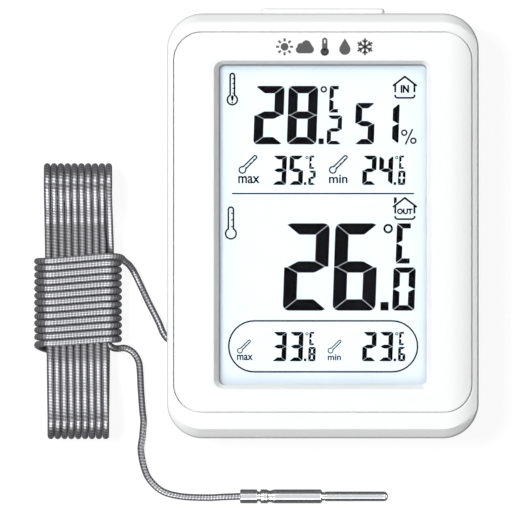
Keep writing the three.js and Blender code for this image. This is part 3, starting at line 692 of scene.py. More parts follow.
CASE_HALF_X = case_high.x
CASE_HALF_Y = (case_high.y - case_low.y) / 2
CASE_DEPTH = case_high.z
CASE_CORNER = 9.3
CROWN_RUN, CROWN_DROP = 8.2, 2.5
CROWN_RADIUS = (CROWN_RUN**2 + CROWN_DROP**2) / (2 * CROWN_DROP)
CHAMFER_TOP, CHAMFER_LOW = 2.25, 2.4
STEP_INSET, STEP_HEIGHT = 3.4, 9.0
WALL = 2.0
LEDGE_Z = 17.5
SEAM = (38.75, 49.35, 7.45)  # half width, half height and corner of the cover's pocket
COVER = (38.5, 49.1, 7.2)
COVER_Y = 0.96
CASE_BACK = [  # inset and height, from the back face to the step in the side
    (4.5, 0.0), (4.33, 0.05), (3.47, 0.92), (3.4, 1.1), (3.4, 8.8), (3.34, 8.94), (3.2, 9.0),
    (0.3, 9.0), (0.1, 9.08), (0.0, 9.3),
]
RIM_EDGE = [(0.0, 0.95), (0.03, 0.62), (0.1, 0.36), (0.2, 0.17), (0.32, 0.06), (0.45, 0.01)]  # inset and drop
RIM_ROWS = (0.0, 0.12, 0.26, 0.38, 0.45, 0.48, 0.495, 0.505, 0.52, 0.55, 0.62, 0.75, 0.88, 1.0)
SEAM_STEP = [(0.03, 0.03), (0.0, 0.1), (0.0, 1.0), (-0.2, 1.0), (-0.2, 1.8), (0.0, 1.8)]  # growth and drop
COVER_CEILING = 21.8
SCREW_X, SCREW_YS = 32.6, (44.3, -42.6)
BOARD_SCREW_X, BOARD_SCREW_Y = 33.2, 20.0


def crown(x, _y=0.0):
    """Height of the front, which is flat in the middle and curves down to both sides."""
    over = max(0.0, abs(x) - (CASE_HALF_X - CROWN_RUN))
    return CASE_DEPTH - (CROWN_RADIUS - math.sqrt(CROWN_RADIUS**2 - over**2))


def soft_least(a, b, blend=0.06):
    meet = max(0.0, blend - abs(a - b)) / blend
    return min(a, b) - meet * meet * blend / 4


def edge_distance(x, y):
    """How far a point lies inside the casing's outline."""
    over_x = abs(x) - (CASE_HALF_X - CASE_CORNER)
    over_y = abs(y) - (CASE_HALF_Y - CASE_CORNER)
    outside = math.hypot(max(over_x, 0.0), max(over_y, 0.0))
    return CASE_CORNER - outside - min(max(over_x, over_y), 0.0)


def chamfer_run(y):
    return mix(CHAMFER_LOW, CHAMFER_TOP, ease((y + 40) / 80))


def rim_height(x, y):
    """Height of the rim's front: the crown, cut back by the chamfer along the edges."""
    slope = CASE_DEPTH - CROWN_DROP * (1 - edge_distance(x, y) / chamfer_run(y))
    return soft_least(crown(x), slope)


def case_stack(levels):
    """Outlines of the casing: each level is how far it lies inside the widest one, and its height."""
    return stack(CASE_HALF_X, CASE_HALF_Y, CASE_CORNER, [(-inset, z) for inset, z in levels])


def rim_rings():
    """The front of the rim, from its outer edge to the seam. Half of the rows end at the chamfer's crest."""
    outer = case_stack([(RIM_EDGE[-1][0] + 0.1, 0.0)])[0]
    inner = stack(*SEAM, [(0.1, 0.0)], 0.0, COVER_Y)[0]
    rings = []
    for share in RIM_ROWS:
        ring = []
        for (x0, y0, _), (x1, y1, _) in zip(outer, inner):
            width = math.hypot(x1 - x0, y1 - y0)
            crest = min(0.5, chamfer_run(y0) / width)
            along = crest * share * 2 if share < 0.5 else mix(crest, 1.0, share * 2 - 1)
            x, y = mix(x0, x1, along), mix(y0, y1, along)
            ring.append((x, y, rim_height(x, y)))
        rings.append(ring)
    return rings


def case_shell():
    rings = case_stack(CASE_BACK)
    rings += case_stack([(inset, below(rim_height, drop)) for inset, drop in RIM_EDGE])
    rings += rim_rings()
    steps = [(grow, below(rim_height, drop)) for grow, drop in SEAM_STEP]
    rings += stack(*SEAM, [*steps, (0.0, LEDGE_Z - 0.1)], 0.0, COVER_Y)
    return make("casing_shell", Shape().loft(rings), IN_CASE)


def case_hollow():
    """The room inside: wide above the step in the wall, and narrower below it."""
    inner = STEP_INSET + WALL
    levels = [(inner + 0.5, WALL), (inner + 0.1, WALL + 0.4), (inner, STEP_HEIGHT + WALL)]
    levels += [(WALL, STEP_HEIGHT + WALL), (WALL, LEDGE_Z)]
    return Shape().loft(case_stack(levels))


STAND_HALF, STAND_LOW_Y, STAND_PIN_Y, STAND_PIN_Z = 14.0, -47.3, -2.5, 2.05
BAY = (26.2, 9.0, 32.0, 12.9)  # half length, lowest y, highest y and ceiling
DOOR = (27.9, 6.9, 34.5)  # half width, lowest y and highest y
DOOR_PIN_Y, DOOR_PIN_Z, DOOR_PIN_RADIUS = 32.7, 0.95, 0.8
MAGNET_X, MAGNET_Y, MAGNET_RADIUS = 24.0, -34.0, 5.0
KEY_X, KEY_Y, KEY_RADIUS = 24.5, -12.0, 3.2
KEYHOLE_Y, KEYHOLE_RADIUS, KEYHOLE_NECK, KEYHOLE_TOP = 42.0, 2.8, 1.6, 5.0
PIN_BORE = 0.95
BUTTON_HALF, BUTTON_LOW, BUTTON_HIGH = 16.0, 11.6, 17.0
BUTTON_Z, BUTTON_HALF_Z = (BUTTON_LOW + BUTTON_HIGH) / 2, (BUTTON_HIGH - BUTTON_LOW) / 2
EXIT_Y, EXIT_Z = -29.75, 4.6
VENTS, VENT_PITCH, VENT_FIRST_Y = 7, 2.6, -38.0


PAD_LOW = 1.0  # the pads start inside the back wall


def case_pads():
    """Thick places inside the back for what is let into it, in groups whose bodies don't touch."""
    first = Shape()
    first.box(-BAY[0] - 1.2, BAY[0] + 1.2, BAY[1] - 1.2, BAY[2] + 1.2, PAD_LOW, BAY[3] + 0.8)
    first.box(-17, 17, STAND_LOW_Y - 1.9, STAND_PIN_Y + 4.7, PAD_LOW, 5.0)
    first.box(-7, 7, KEYHOLE_Y - 5.4, KEYHOLE_Y + 5.4, PAD_LOW, 3.6)
    for side in (-1, 1):
        first.pillar(MAGNET_RADIUS + 1.4, side * MAGNET_X, MAGNET_Y, PAD_LOW, 3.8)
        for y in SCREW_YS:
            first.pillar(3.7, side * SCREW_X, y, PAD_LOW, 11.0)
    second = Shape().box(-30.5, 30.5, DOOR[1] - 2.4, DOOR[2] + 2.7, PAD_LOW + 0.1, 4.2)
    return first, second


def mouth(shape, half_x, half_y, corner, x, y, top, flare=0.3):
    """A pocket from the back face up to top, with a small chamfer round its mouth."""
    levels = ((flare, -1.0), (flare, 0.0), (0.0, flare), (0.0, top))
    shape.loft(stack(half_x, half_y, corner, levels, x, y, 8))


def round_mouth(shape, radius, x, y, top):
    mouth(shape, radius, radius, radius - 0.01, x, y, top)


def vent_slots(shape):
    """A row of slots through the narrow part of the right wall."""
    wall_x = CASE_HALF_X - STEP_INSET
    levels = ((0.0, wall_x - 3.0), (0.0, wall_x - 0.25), (0.25, wall_x), (0.25, wall_x + 1.0))
    for slot in range(VENTS):
        y = VENT_FIRST_Y + VENT_PITCH * slot
        shape.loft(turned_to("x", stack(0.6, 2.2, 0.59, levels, y, 5.4, 6)))


def button_slot(shape):
    top, gap = CASE_HALF_Y, 0.25
    levels = ((0.0, top - 3.2), (0.0, top - 0.2), (0.2, top), (0.2, top + 1.0))
    rings = stack(BUTTON_HALF + gap, BUTTON_HALF_Z + gap, 1.4, levels, 0.0, BUTTON_Z, 8)
    shape.loft(turned_to("y", rings))


def cable_hole(shape):
    wall_x = -(CASE_HALF_X - STEP_INSET)
    hole = [(wall_x - 1, 2.3), (wall_x, 2.3), (wall_x + 0.25, 2.05), (wall_x + 3.5, 2.05)]
    shape.turned(hole, (0, EXIT_Y, EXIT_Z), "x", 32)


def case_cuts():
    """What is cut out of the casing, in groups whose bodies don't touch each other."""
    first, second, third, fourth = Shape(), Shape(), Shape(), Shape()
    door_half_y = (DOOR[2] - DOOR[1]) / 2
    mouth(first, DOOR[0] + 0.3, door_half_y + 0.35, 1.6, 0, DOOR[1] + door_half_y, 2.1, 0.15)
    stand_half_y = (STAND_PIN_Y + 2.3 - STAND_LOW_Y + 0.7) / 2
    mouth(first, STAND_HALF + 0.4, stand_half_y, 3.3, 0, STAND_LOW_Y - 0.7 + stand_half_y, 3.4)
    round_mouth(first, KEYHOLE_RADIUS, 0, KEYHOLE_Y - 1.2, KEYHOLE_TOP)
    for side in (-1, 1):
        round_mouth(first, MAGNET_RADIUS + 0.15, side * MAGNET_X, MAGNET_Y, 2.6)
        round_mouth(first, KEY_RADIUS + 0.3, side * KEY_X, KEY_Y, 3.0)
        for y in SCREW_YS:
            round_mouth(first, 2.6, side * SCREW_X, y, 4.0)
            second.pillar(1.3, side * SCREW_X, y, 3.5, 12.0)
    vent_slots(first)
    button_slot(first)
    cable_hole(first)
    second.box(-BAY[0], BAY[0], BAY[1], BAY[2], 0.5, BAY[3])
    second.box(-STAND_HALF - 0.4, STAND_HALF + 0.4, STAND_PIN_Y - 2.3, STAND_PIN_Y + 2.25, 1.0, 4.1)
    second.box(-KEYHOLE_NECK, KEYHOLE_NECK, KEYHOLE_Y - 1.2, KEYHOLE_Y + 3.2, -1.0, KEYHOLE_TOP)
    third.turned([(-16.2, PIN_BORE), (16.2, PIN_BORE)], (0, STAND_PIN_Y, STAND_PIN_Z), "x", 24)
    third.turned([(-29.6, 1.05), (29.6, 1.05)], (0, DOOR_PIN_Y, DOOR_PIN_Z), "x", 24)
    third.pillar(KEYHOLE_NECK, 0, KEYHOLE_Y + 3.2, -1.0, KEYHOLE_TOP)
    third.pillar(5.0, 0, DOOR[1] - 0.3, -1.0, 1.4, 40)  # for a fingertip, below the door
    third.pillar(3.4, 0, STAND_LOW_Y - 0.2, -1.0, 3.3, 32)  # and below the stand
    fourth.box(-DOOR[0], DOOR[0], BAY[2] - 0.1, DOOR[2] + 0.3, -0.5, 3.2)  # room for the door's hinged edge
    return first, second, third, fourth


def make_casing(white):
    casing = case_shell()
    combine(casing, case_hollow(), "DIFFERENCE")
    for pads in case_pads():
        combine(casing, pads, "UNION")
    for cuts in case_cuts():
        combine(casing, cuts, "DIFFERENCE")
    finish_piece(casing, white, "casing", "casing_white", "rear_case", smooth_angle=32)


WINDOW_OUTER = (28.2, 42.5, 2.5, 0.26)  # half width, half height, corner and y of the bevel's outer edge
WINDOW_INNER = (26.9, 41.5, 1.4, 0.37)
COVER_ROWS = (0.0, 0.04, 0.09, 0.15, 0.21, 0.27, 0.33, 0.39, 0.45, 0.51, 0.57, 0.63, 0.8, 1.0)


def cover_stack(levels):
    return stack(*COVER, levels, 0.0, COVER_Y)


def window_stack(size, levels):
    return stack(*size[:3], levels, 0.0, size[3])


def cover_shell():
    """The cover's skirt, its front, the bevel round its window and its underside."""
    skirt, ceiling = LEDGE_Z + 0.3, COVER_CEILING
    rings = cover_stack([(0.0, skirt), (0.0, below(crown, 0.1)), (-0.03, below(crown, 0.03))])
    outer, inner = cover_stack([(-0.1, 0.0)])[0], window_stack(WINDOW_OUTER, [(0.12, 0.0)])[0]
    for share in COVER_ROWS:
        ring = []
        for (x0, y0, _), (x1, y1, _) in zip(outer, inner):
            x, y = mix(x0, x1, share), mix(y0, y1, share)
            ring.append((x, y, crown(x)))
        rings.append(ring)
    rings += window_stack(WINDOW_OUTER, [(0.04, CASE_DEPTH - 0.03), (-0.04, CASE_DEPTH - 0.1)])
    rings += window_stack(WINDOW_INNER, [(0.05, ceiling + 0.35), (0.0, ceiling + 0.25), (0.0, ceiling)])
    rings += cover_stack([(-1.5, ceiling), (-1.5, skirt)])
    return make("cover_shell", Shape().loft(rings, closed=True), IN_CASE)


def make_cover(white):
    cover = cover_shell()
    bosses, pilots = Shape(), Shape()
    for side in (-1, 1):
        for y in SCREW_YS:
            bosses.pillar(2.3, side * SCREW_X, y, 11.2, COVER_CEILING + 0.4)
            pilots.pillar(1.1, side * SCREW_X, y, 10.0, 16.5, 20)
        for y in (-BOARD_SCREW_Y, BOARD_SCREW_Y):
            bosses.pillar(2.2, side * BOARD_SCREW_X, y, 15.7, COVER_CEILING + 0.4)
            pilots.pillar(0.95, side * BOARD_SCREW_X, y, 15.0, 19.5, 20)
    combine(cover, bosses, "UNION")
    combine(cover, pilots, "DIFFERENCE")
    finish_piece(cover, white, "casing", "casing_white", "front_cover", smooth_angle=25)


# ---------------------------------------------------------------- display


GLASS_Y = 0.32  # middle of the display's glass and of the window
FILM_TOP = 20.4  # front of the display, which carries its marks


def slab_rings(half_x, half_y, corner, low, high, bevel, x=0.0, y=0.0):
    """A flat slab with its edges rounded off a little."""
    edge = 0.3 * bevel
    levels = [(-bevel, low), (-edge, low + edge), (0.0, low + bevel)]
    levels += [(0.0, high - bevel), (-edge, high - edge), (-bevel, high)]
    return stack(half_x, half_y, corner, levels, x, y, 6)


# A dark ring under the window's edge, put there to paint the bevel's shadow on the glass.
SHADOW_RING_LOW, SHADOW_RING_HIGH, SHADOW_RING_WIDTH = 21.62, 21.78, 1.4
SHADOW_RING_LEFT, SHADOW_RING_TOP = 0.42, 0.5  # how far it shows beside the window


def make_bevel_shadow_ring():
    """A dark ring round the glass that is a painted shadow of the window's bevel. It shows beside the
    window's left and top edges only, where that shade falls.
    """
    half_x, half_y, corner, y = WINDOW_INNER
    shift_x, shift_y = SHADOW_RING_LEFT / 2, -SHADOW_RING_TOP / 2
    levels = [(SHADOW_RING_WIDTH, SHADOW_RING_LOW), (SHADOW_RING_WIDTH, SHADOW_RING_HIGH), (0.0, SHADOW_RING_HIGH), (0.0, SHADOW_RING_LOW)]
    rings = stack(half_x - shift_x, half_y + shift_y, corner, levels, shift_x, y + shift_y, 8)
    shadow_ring = make("painted_bevel_shadow", Shape().loft(rings, closed=True), IN_CASE)
    shadow_dark = moulded("painted_shadow_grey", (0.2, 0.22, 0.245), 0.6)
    finish_piece(shadow_ring, shadow_dark, "casing", "contact_rubber")


class Ink:
    """Flat marks of one thickness on a plane."""

    def __init__(self, z, thickness):
        self.shape = Shape()
        self.levels = (z, z + thickness)

    def patch(self, outline):
        self.shape.loft([[(x, y, z) for x, y in outline] for z in self.levels])

    def line(self, points, width, closed=False):
        low, high = self.levels
        rings = []
        for left, right in zip(shifted(points, width / 2, closed), shifted(points, -width / 2, closed)):
            rings.append([(*left, low), (*left, high), (*right, high), (*right, low)])
        self.shape.loft(rings, closed)

    def disc(self, x, y, radius):
        self.patch(arc(x, y, radius, 0, 360, 24)[:-1])

    def ring(self, x, y, radius, width):
        self.line(arc(x, y, radius, 0, 360, 28)[:-1], width, closed=True)

    def word(self, text, x0, x1, y0, y1, weight=0.0):
        """Plain letters, fitted into a box."""
        data = bpy.data.curves.new("letters", "FONT")
        data.body = text
        data.extrude = 0.5
        data.offset = weight
        letters = new_object("letters", data)
        evaluated = letters.evaluated_get(bpy.context.evaluated_depsgraph_get())
        mesh = bpy.data.meshes.new_from_object(evaluated)
        points = np.array([v.co for v in mesh.vertices], float)
        low, high = points.min(0), points.max(0)
        target_low = np.array((x0, y0, self.levels[0]))
        target_high = np.array((x1, y1, self.levels[1]))
        fitted = target_low + (points - low) / (high - low) * (target_high - target_low)
        self.shape.add([tuple(p) for p in fitted], [tuple(f.vertices) for f in mesh.polygons])
        bpy.data.objects.remove(letters)


def arc(x, y, radius, start, end, steps):
    """Points round a circle, from one angle to another in degrees."""
    points = []
    for step in range(steps + 1):
        angle = math.radians(mix(start, end, step / steps))
        points.append((x + radius * math.cos(angle), y + radius * math.sin(angle)))
    return points


def shifted(points, distance, closed):
    """The line beside a line of points, at a distance to its left."""
    made = []
    count = len(points)
    for index, (x, y) in enumerate(points):
        ways = []
        if closed or index > 0:
            before = points[index - 1]
            ways.append(Vector((x - before[0], y - before[1])).normalized())
        if closed or index < count - 1:
            after = points[(index + 1) % count]
            ways.append(Vector((after[0] - x, after[1] - y)).normalized())
        mean = (ways[0] + ways[-1]).normalized()
        reach = distance / max(0.4, mean.dot(ways[0]))
        made.append((x - mean.y * reach, y + mean.x * reach))
    return made


DIGITS = {"0": "abcdef", "1": "bc", "2": "abdeg", "3": "abcdg", "4": "bcfg", "5": "acdfg"}
DIGITS.update({"6": "acdefg", "8": "abcdefg", "C": "adef"})
LEAN = math.tan(math.radians(2.0))


def segment_outlines(width, height, upright, level, gap):
    """The seven bars of a digit, by their usual letters, from its lower left corner."""
    middle, half = height / 2, level / 2
    tip = upright * 0.22
    turn = 0.45 * min(upright, level)
    cut = 0.29 * turn

    def across(outline):
        return [(width - x, y) for x, y in reversed(outline)]

    def over(outline):
        return [(x, height - y) for x, y in reversed(outline)]

    under = height - level
    near, far = upright + gap, width - upright - gap
    top = [(gap + turn, height), (width - gap - turn, height), (width - gap - cut, height - cut)]
    top += [(far, under), (near, under), (gap + cut, height - cut)]
    side = [(0, height - gap - turn), (cut, height - gap - cut), (upright, height - level - gap)]
    side += [(upright, middle + half + gap), (tip, middle + gap), (0, middle + gap)]
    bar = [(tip + gap, middle), (near, middle + half), (far, middle + half)]
    bar += [(width - tip - gap, middle), (far, middle - half), (near, middle - half)]
    bars = {"a": top, "b": across(side), "c": over(across(side)), "d": over(top)}
    bars.update({"e": over(side), "f": side, "g": bar})
    return bars


def draw_digit(ink, digit, x0, x1, y0, y1, upright, level, gap):
    """A digit in a box that includes its lean. The letter C has square ends."""
    height = y1 - y0
    width = x1 - x0 - height * LEAN
    outlines = segment_outlines(width, height, upright, level, gap)
    if digit == "C":
        square = width - gap
        under = height - level
        outlines["a"] = [(gap, height), (square, height), (square, under), (upright + gap, under)]
        outlines["d"] = [(upright + gap, level), (square, level), (square, 0), (gap, 0)]
    for name in DIGITS[digit]:
        ink.patch([(x0 + x + y * LEAN, y0 + y) for x, y in outlines[name]])


def draw_thermometer(ink, x, y, bulb, tube, height, width, tilt=0.0, ticks=4):
    """An outline of a bulb with a tube, about the middle of its bulb."""
    spread_angle = math.degrees(math.asin(tube / bulb))
    outline = arc(0, height - tube, tube, 0, 180, 10)
    outline += arc(0, 0, bulb, 90 + spread_angle, 450 - spread_angle, 24)
    turn = math.radians(tilt)
    cos, sin = math.cos(turn), math.sin(turn)

    def placed(points):
        return [(x + u * cos - v * sin, y + u * sin + v * cos) for u, v in points]

    ink.line(placed(outline), width, closed=True)
    for tick in range(ticks):
        level = mix(bulb * 1.3, height - tube * 2.4, tick / max(1, ticks - 1))
        ink.line(placed([(0.05 * tube, level), (tube, level)]), width * 0.7)
    return placed


def draw_house(ink, x, y, label, letters):
    """A house with its roof at the top of the sign and a curved line under it."""
    stroke = 0.5
    roof = [(x - 3.1, y + 3.1), (x, y + 5.5), (x + 3.1, y + 3.1)]
    ink.line(roof, stroke)
    for side in (-1, 1):
        ink.line([(x + side * 2.48, y + 3.5), (x + side * 2.48, y + 1.45)], stroke)
    base = [(x - 2.55, y + 0.85)] + arc(x - 1.85, y + 0.7, 0.7, 195, 270, 5)
    base += arc(x + 1.85, y + 0.7, 0.7, 270, 345, 5) + [(x + 2.55, y + 0.85)]
    ink.line(base, 0.46)
    ink.word(label, x - letters[0], x + letters[0], y + letters[1], y + letters[2], 0.055)


def draw_row(ink, digits, y0, y1, *strokes):
    """Digits of one height, each with its left and right."""
    for digit, x0, x1 in digits:
        draw_digit(ink, digit, x0, x1, y0, y1, *strokes)


def draw_point(ink, x0, x1, y0, y1):
    ink.patch([(x0, y0), (x1, y0), (x1, y1), (x0, y1)])


def draw_indoor(ink):
    """Upper half: temperature, humidity, their signs and the line under them."""
    low, high = 21.1, 36.25
    draw_row(ink, [("2", -18.0, -9.85), ("8", -9.35, -1.15)], low, high, 2.48, 1.92, 0.07)
    draw_point(ink, -1.1, 0.26, 21.15, 22.65)
    draw_row(ink, [("2", 0.95, 5.05)], low, 28.6, 1.1, 0.93, 0.06)
    draw_row(ink, [("C", 1.58, 4.22)], 29.35, high, 1.13, 0.93, 0.06)
    ink.ring(0.26, 35.35, 0.64, 0.44)
    draw_row(ink, [("5", 8.2, 13.6), ("1", 14.4, 19.95)], low, 31.85, 1.72, 1.42, 0.07)
    for x, y in ((21.09, 24.12), (23.45, 22.05)):
        ink.ring(x, y, 0.64, 0.42)
    ink.line([(21.4, 21.05), (23.25, 25.1)], 0.42)
    draw_house(ink, 21.25, 33.15, "IN", (1.1, 1.3, 3.35))
    mark = draw_thermometer(ink, -23.42, 32.66, 1.3, 0.56, 6.8, 0.44)
    ink.patch(mark([(-0.18, -0.3), (0.18, -0.3), (0.4, 0.75), (0.12, 1.2), (-0.12, 1.2), (-0.4, 0.75)]))
    ink.disc(-23.42, 31.95, 0.24)
    ink.line([(-23.55, 8.36), (23.63, 8.36)], 0.36)


def draw_outdoor(ink):
    """Lower half: the probe's temperature, its signs and the border of its extremes."""
    low, high = -21.95, 0.67
    draw_row(ink, [("2", -10.4, 1.85), ("6", 2.5, 14.4)], low, high, 3.52, 2.95, 0.08)
    draw_point(ink, 14.93, 17.03, -21.92, -19.7)
    draw_row(ink, [("0", 17.95, 24.1)], low, -10.75, 1.75, 1.4, 0.07)
    draw_row(ink, [("C", 18.85, 22.9)], -9.75, high, 1.6, 1.34, 0.07)
    ink.ring(16.93, -0.72, 0.98, 0.56)
    draw_house(ink, 21.25, 1.75, "OUT", (2.02, 1.25, 2.75))
    ink.patch([(18.4, 5.6), (19.15, 6.2), (19.15, 7.4), (18.4, 7.4)])
    draw_thermometer(ink, -23.79, -1.99, 1.38, 0.66, 6.85, 0.42, ticks=3)
    straight, bend, y = 17.85, 6.6, -31.2
    border = arc(straight, y, bend, -90, 90, 20) + arc(-straight, y, bend, 90, 270, 20)
    ink.line([(px + 0.1, py) for px, py in border], 0.4, closed=True)


def draw_extreme(ink, x, y, big, small, icon_x, label, label_x, low, sizes):
    """A highest or lowest value: x and y are the first digit's lower left corner."""
    top, gap, small_gap = y + 7.6, 0.05, 0.04
    draw_row(ink, [(big[0], x, x + 3.85), (big[1], x + 4.3, x + 8.15)], y, top, 1.22, 1.0, gap)
    draw_point(ink, x + 8.2, x + 8.85, y, y + 0.72)
    draw_row(ink, [(small, x + 9.3, x + 11.3)], y, y + 3.7, 0.72, 0.6, small_gap)
    draw_row(ink, [("C", x + 9.55, x + 10.95)], y + 4.15, top, 0.6, 0.5, small_gap)
    ink.ring(x + 9.0, y + 7.1, 0.3, 0.22)
    bulb, tube, reach, width = sizes
    draw_thermometer(ink, icon_x, low, bulb, tube, reach, width, -45.0, ticks=3)
    ink.word(label, *label_x, 0.02)


def make_symbols():
    ink = Ink(FILM_TOP, 0.05)
    draw_indoor(ink)
    draw_outdoor(ink)
    large, small = (0.84, 0.42, 5.05, 0.36), (0.62, 0.3, 3.7, 0.26)
    draw_extreme(ink, -13.1, 10.6, "35", "2", -20.8, "max", (-21.9, -16.3, 11.0, 12.95), 14.5, large)
    draw_extreme(ink, 10.15, 10.6, "24", "0", 2.6, "min", (1.6, 6.4, 11.05, 13.3), 14.5, large)
    draw_extreme(ink, -13.1, -35.05, "33", "8", -21.45, "max", (-22.2, -18.1, -34.8, -33.35), -32.3, small)
    draw_extreme(ink, 10.15, -35.05, "23", "6", 2.0, "min", (1.3, 4.7, -34.8, -33.2), -32.3, small)
    symbols = make("display_symbols", ink.shape, IN_CASE)
    black = moulded("display_ink", (0.003, 0.003, 0.004), 0.5, 2000.0, 0.000002, 0.3, Specular_IOR_Level=0.0)
    finish_piece(symbols, black, "casing", "display_glass")


def draw_sun(ink, x, y):
    ink.disc(x, y, 1.0)
    for ray in range(8):
        way = math.tau * ray / 8
        near, far = 1.4, 2.2
        ends = [(x + r * math.cos(way), y + r * math.sin(way)) for r in (near, far)]
        ink.line(ends, 0.55)


def draw_cloud(ink, x, y):
    outline = arc(x - 1.35, y - 0.75, 0.95, 150, 270, 10) + arc(x + 1.4, y - 0.7, 1.0, 270, 410, 12)
    outline += arc(x + 0.45, y + 0.55, 1.15, 20, 125, 10) + arc(x - 1.05, y + 0.1, 0.85, 70, 190, 10)
    ink.patch(outline)


def draw_drop(ink, x, y):
    outline = arc(x, y - 0.65, 1.45, 150, 390, 24) + [(x, y + 2.2)]
    ink.patch(outline)


def draw_flake(ink, x, y):
    for arm in range(6):
        way = math.tau * arm / 6 + math.pi / 2
        tip = (x + 2.2 * math.cos(way), y + 2.2 * math.sin(way))
        ink.line([(x, y), tip], 0.5)
        for side in (-1, 1):
            barb = way + side * 0.9
            foot = (x + 1.15 * math.cos(way), y + 1.15 * math.sin(way))
            ink.line([foot, (foot[0] + 0.85 * math.cos(barb), foot[1] + 0.85 * math.sin(barb))], 0.42)


def make_marks():
    """Five plain weather signs, printed on the cover over the display."""
    ink = Ink(CASE_DEPTH + 0.005, 0.03)
    y, middle_x, pitch = 46.35, 0.5, 5.2
    draw_sun(ink, middle_x - 2 * pitch, y)
    draw_cloud(ink, middle_x - pitch, y)
    draw_thermometer(ink, middle_x, y - 1.25, 0.85, 0.45, 3.35, 0.5, ticks=0)
    ink.disc(middle_x, y - 1.25, 0.85)
    ink.line([(middle_x, y - 1.25), (middle_x, y + 0.9)], 0.4)
    draw_drop(ink, middle_x + pitch, y)
    draw_flake(ink, middle_x + 2 * pitch, y)
    marks = make("printed_marks", ink.shape, IN_CASE)
    grey = moulded("print_grey", (0.064, 0.062, 0.062), 0.55, 2000.0, 0.000004, 0.15)
    finish_piece(marks, grey, "casing", "epoxy_black")


def make_display():
    """The lit glass with its front film, the window over it, the dark ring of painted bevel shadow and the
    marks.
    """
    glass = Shape().loft(slab_rings(28.5, 44.0, 0.6, 18.4, 20.3, 0.15, 0.0, GLASS_Y))
    glass.loft(slab_rings(27.9, 42.9, 0.5, 20.25, FILM_TOP, 0.05, 0.0, GLASS_Y))
    panel = make("display_panel", glass, IN_CASE)
    finish_piece(panel, screen_material(), "casing", "display_glass", "lcd_glass")
    clear = slab_rings(28.5, 43.0, 0.8, 20.6, 21.6, 0.12, 0.0, GLASS_Y)
    lens = make("window_lens", Shape().loft(clear), IN_CASE)
    finish_piece(lens, lens_material(), "casing", "clear_lens", "display_lens")
    make_bevel_shadow_ring()
    make_symbols()
    make_marks()


# ---------------------------------------------------------------- buttons, stand and door


BAR_FOOT, BAR_FLANGE_LOW = 52.5, 51.4


def make_light_bar(white):
    """The bar across the top edge: a proud cap with a rounded edge, a flange and a stem."""
    top = CASE_HALF_Y + 1.3
    levels = ((0.0, BAR_FOOT), (0.0, top - 0.7), (-0.08, top - 0.4), (-0.3, top - 0.12), (-0.7, top))
    rings = stack(BUTTON_HALF, BUTTON_HALF_Z, 1.3, levels, 0.0, BUTTON_Z, 10)
    inner_x, inner_z = BUTTON_HALF - 1.6, BUTTON_HALF_Z - 1.6
    rings.append(rounded_ring(inner_x, inner_z, 0.5, top - 0.06, 0.0, BUTTON_Z, 10))
    shape = Shape().loft(turned_to("y", rings))
    shape.box(-18.5, 18.5, BAR_FLANGE_LOW, BAR_FOOT, BUTTON_LOW - 0.4, BUTTON_HIGH + 0.2)
    shape.box(-2, 2, 49.3, BAR_FLANGE_LOW, 11.4, BUTTON_Z)
    bar = make("light_bar", shape, IN_CASE)
    finish_piece(bar, white, "light_key", "casing_white", "light_button")


def make_back_key(name, x, white, body, node):
    """A round button in the back, with a rounded rim and a dished face."""
    outside = [(0.62, 0.05), (0.6, 1.2), (0.46, 2.3), (0.4, 2.75), (0.44, 3.0), (0.62, 3.16), (0.85, 3.2)]
    outside += [(2.15, 3.2), (2.2, 4.2), (3.2, 4.2), (3.2, 1.3), (9.4, 1.3), (9.4, 0.05)]
    key = make(name, Shape().turned(outside, (x, KEY_Y, 0), "z"), IN_CASE)
    finish_piece(key, white, body, "casing_white", node)


STAND_RIBS, STAND_RIB_PITCH, STAND_FIRST_RIB = 5, 6.2, -14.0  # the first rib's y, from the leg's middle
STAND_BARREL = 1.7


def make_stand(white):
    """A flat leg with a raised border, stiffening ribs and a barrel round its pin."""
    middle_y = (STAND_PIN_Y + STAND_LOW_Y) / 2
    half_y = (STAND_PIN_Y - STAND_LOW_Y) / 2
    plate = slab_rings(STAND_HALF, half_y, 3.0, 0.3, 2.9, 0.3, 0.0, middle_y)
    leg = make("stand_leg_panel", Shape().loft(plate), IN_CASE)
    lowered = 1.5  # the hollow keeps clear of the barrel
    hollow = []
    for inset, z in ((2.2, -1.0), (2.2, 0.3), (2.5, 1.1), (2.5, 1.2)):
        half_length = half_y - inset - lowered
        hollow.append(rounded_ring(STAND_HALF - inset, half_length, 1.2, z, 0.0, middle_y - lowered, 6))
    combine(leg, Shape().loft(hollow), "DIFFERENCE")
    ribs = Shape()
    for index in range(STAND_RIBS):
        y = middle_y + STAND_FIRST_RIB + STAND_RIB_PITCH * index
        levels = ((0, 1.5), (0, 0.7), (0.15, 0.5))
        ribs.loft([rounded_ring(11.8, 0.5 - inset, 0.2, z, 0.0, y, 3) for inset, z in levels])
    combine(leg, ribs, "UNION")
    pin = (0, STAND_PIN_Y, STAND_PIN_Z)
    far, worn = STAND_HALF, 0.25
    barrel = [(-far, STAND_BARREL - worn), (-far + worn, STAND_BARREL)]
    barrel += [(far - worn, STAND_BARREL), (far, STAND_BARREL - worn)]
    combine(leg, Shape().turned(barrel, pin, "x", 36), "UNION")
    combine(leg, Shape().turned([(-20, PIN_BORE), (20, PIN_BORE)], pin, "x", 24), "DIFFERENCE")
    finish_piece(leg, white, "stand_leg", "casing_white", "stand")


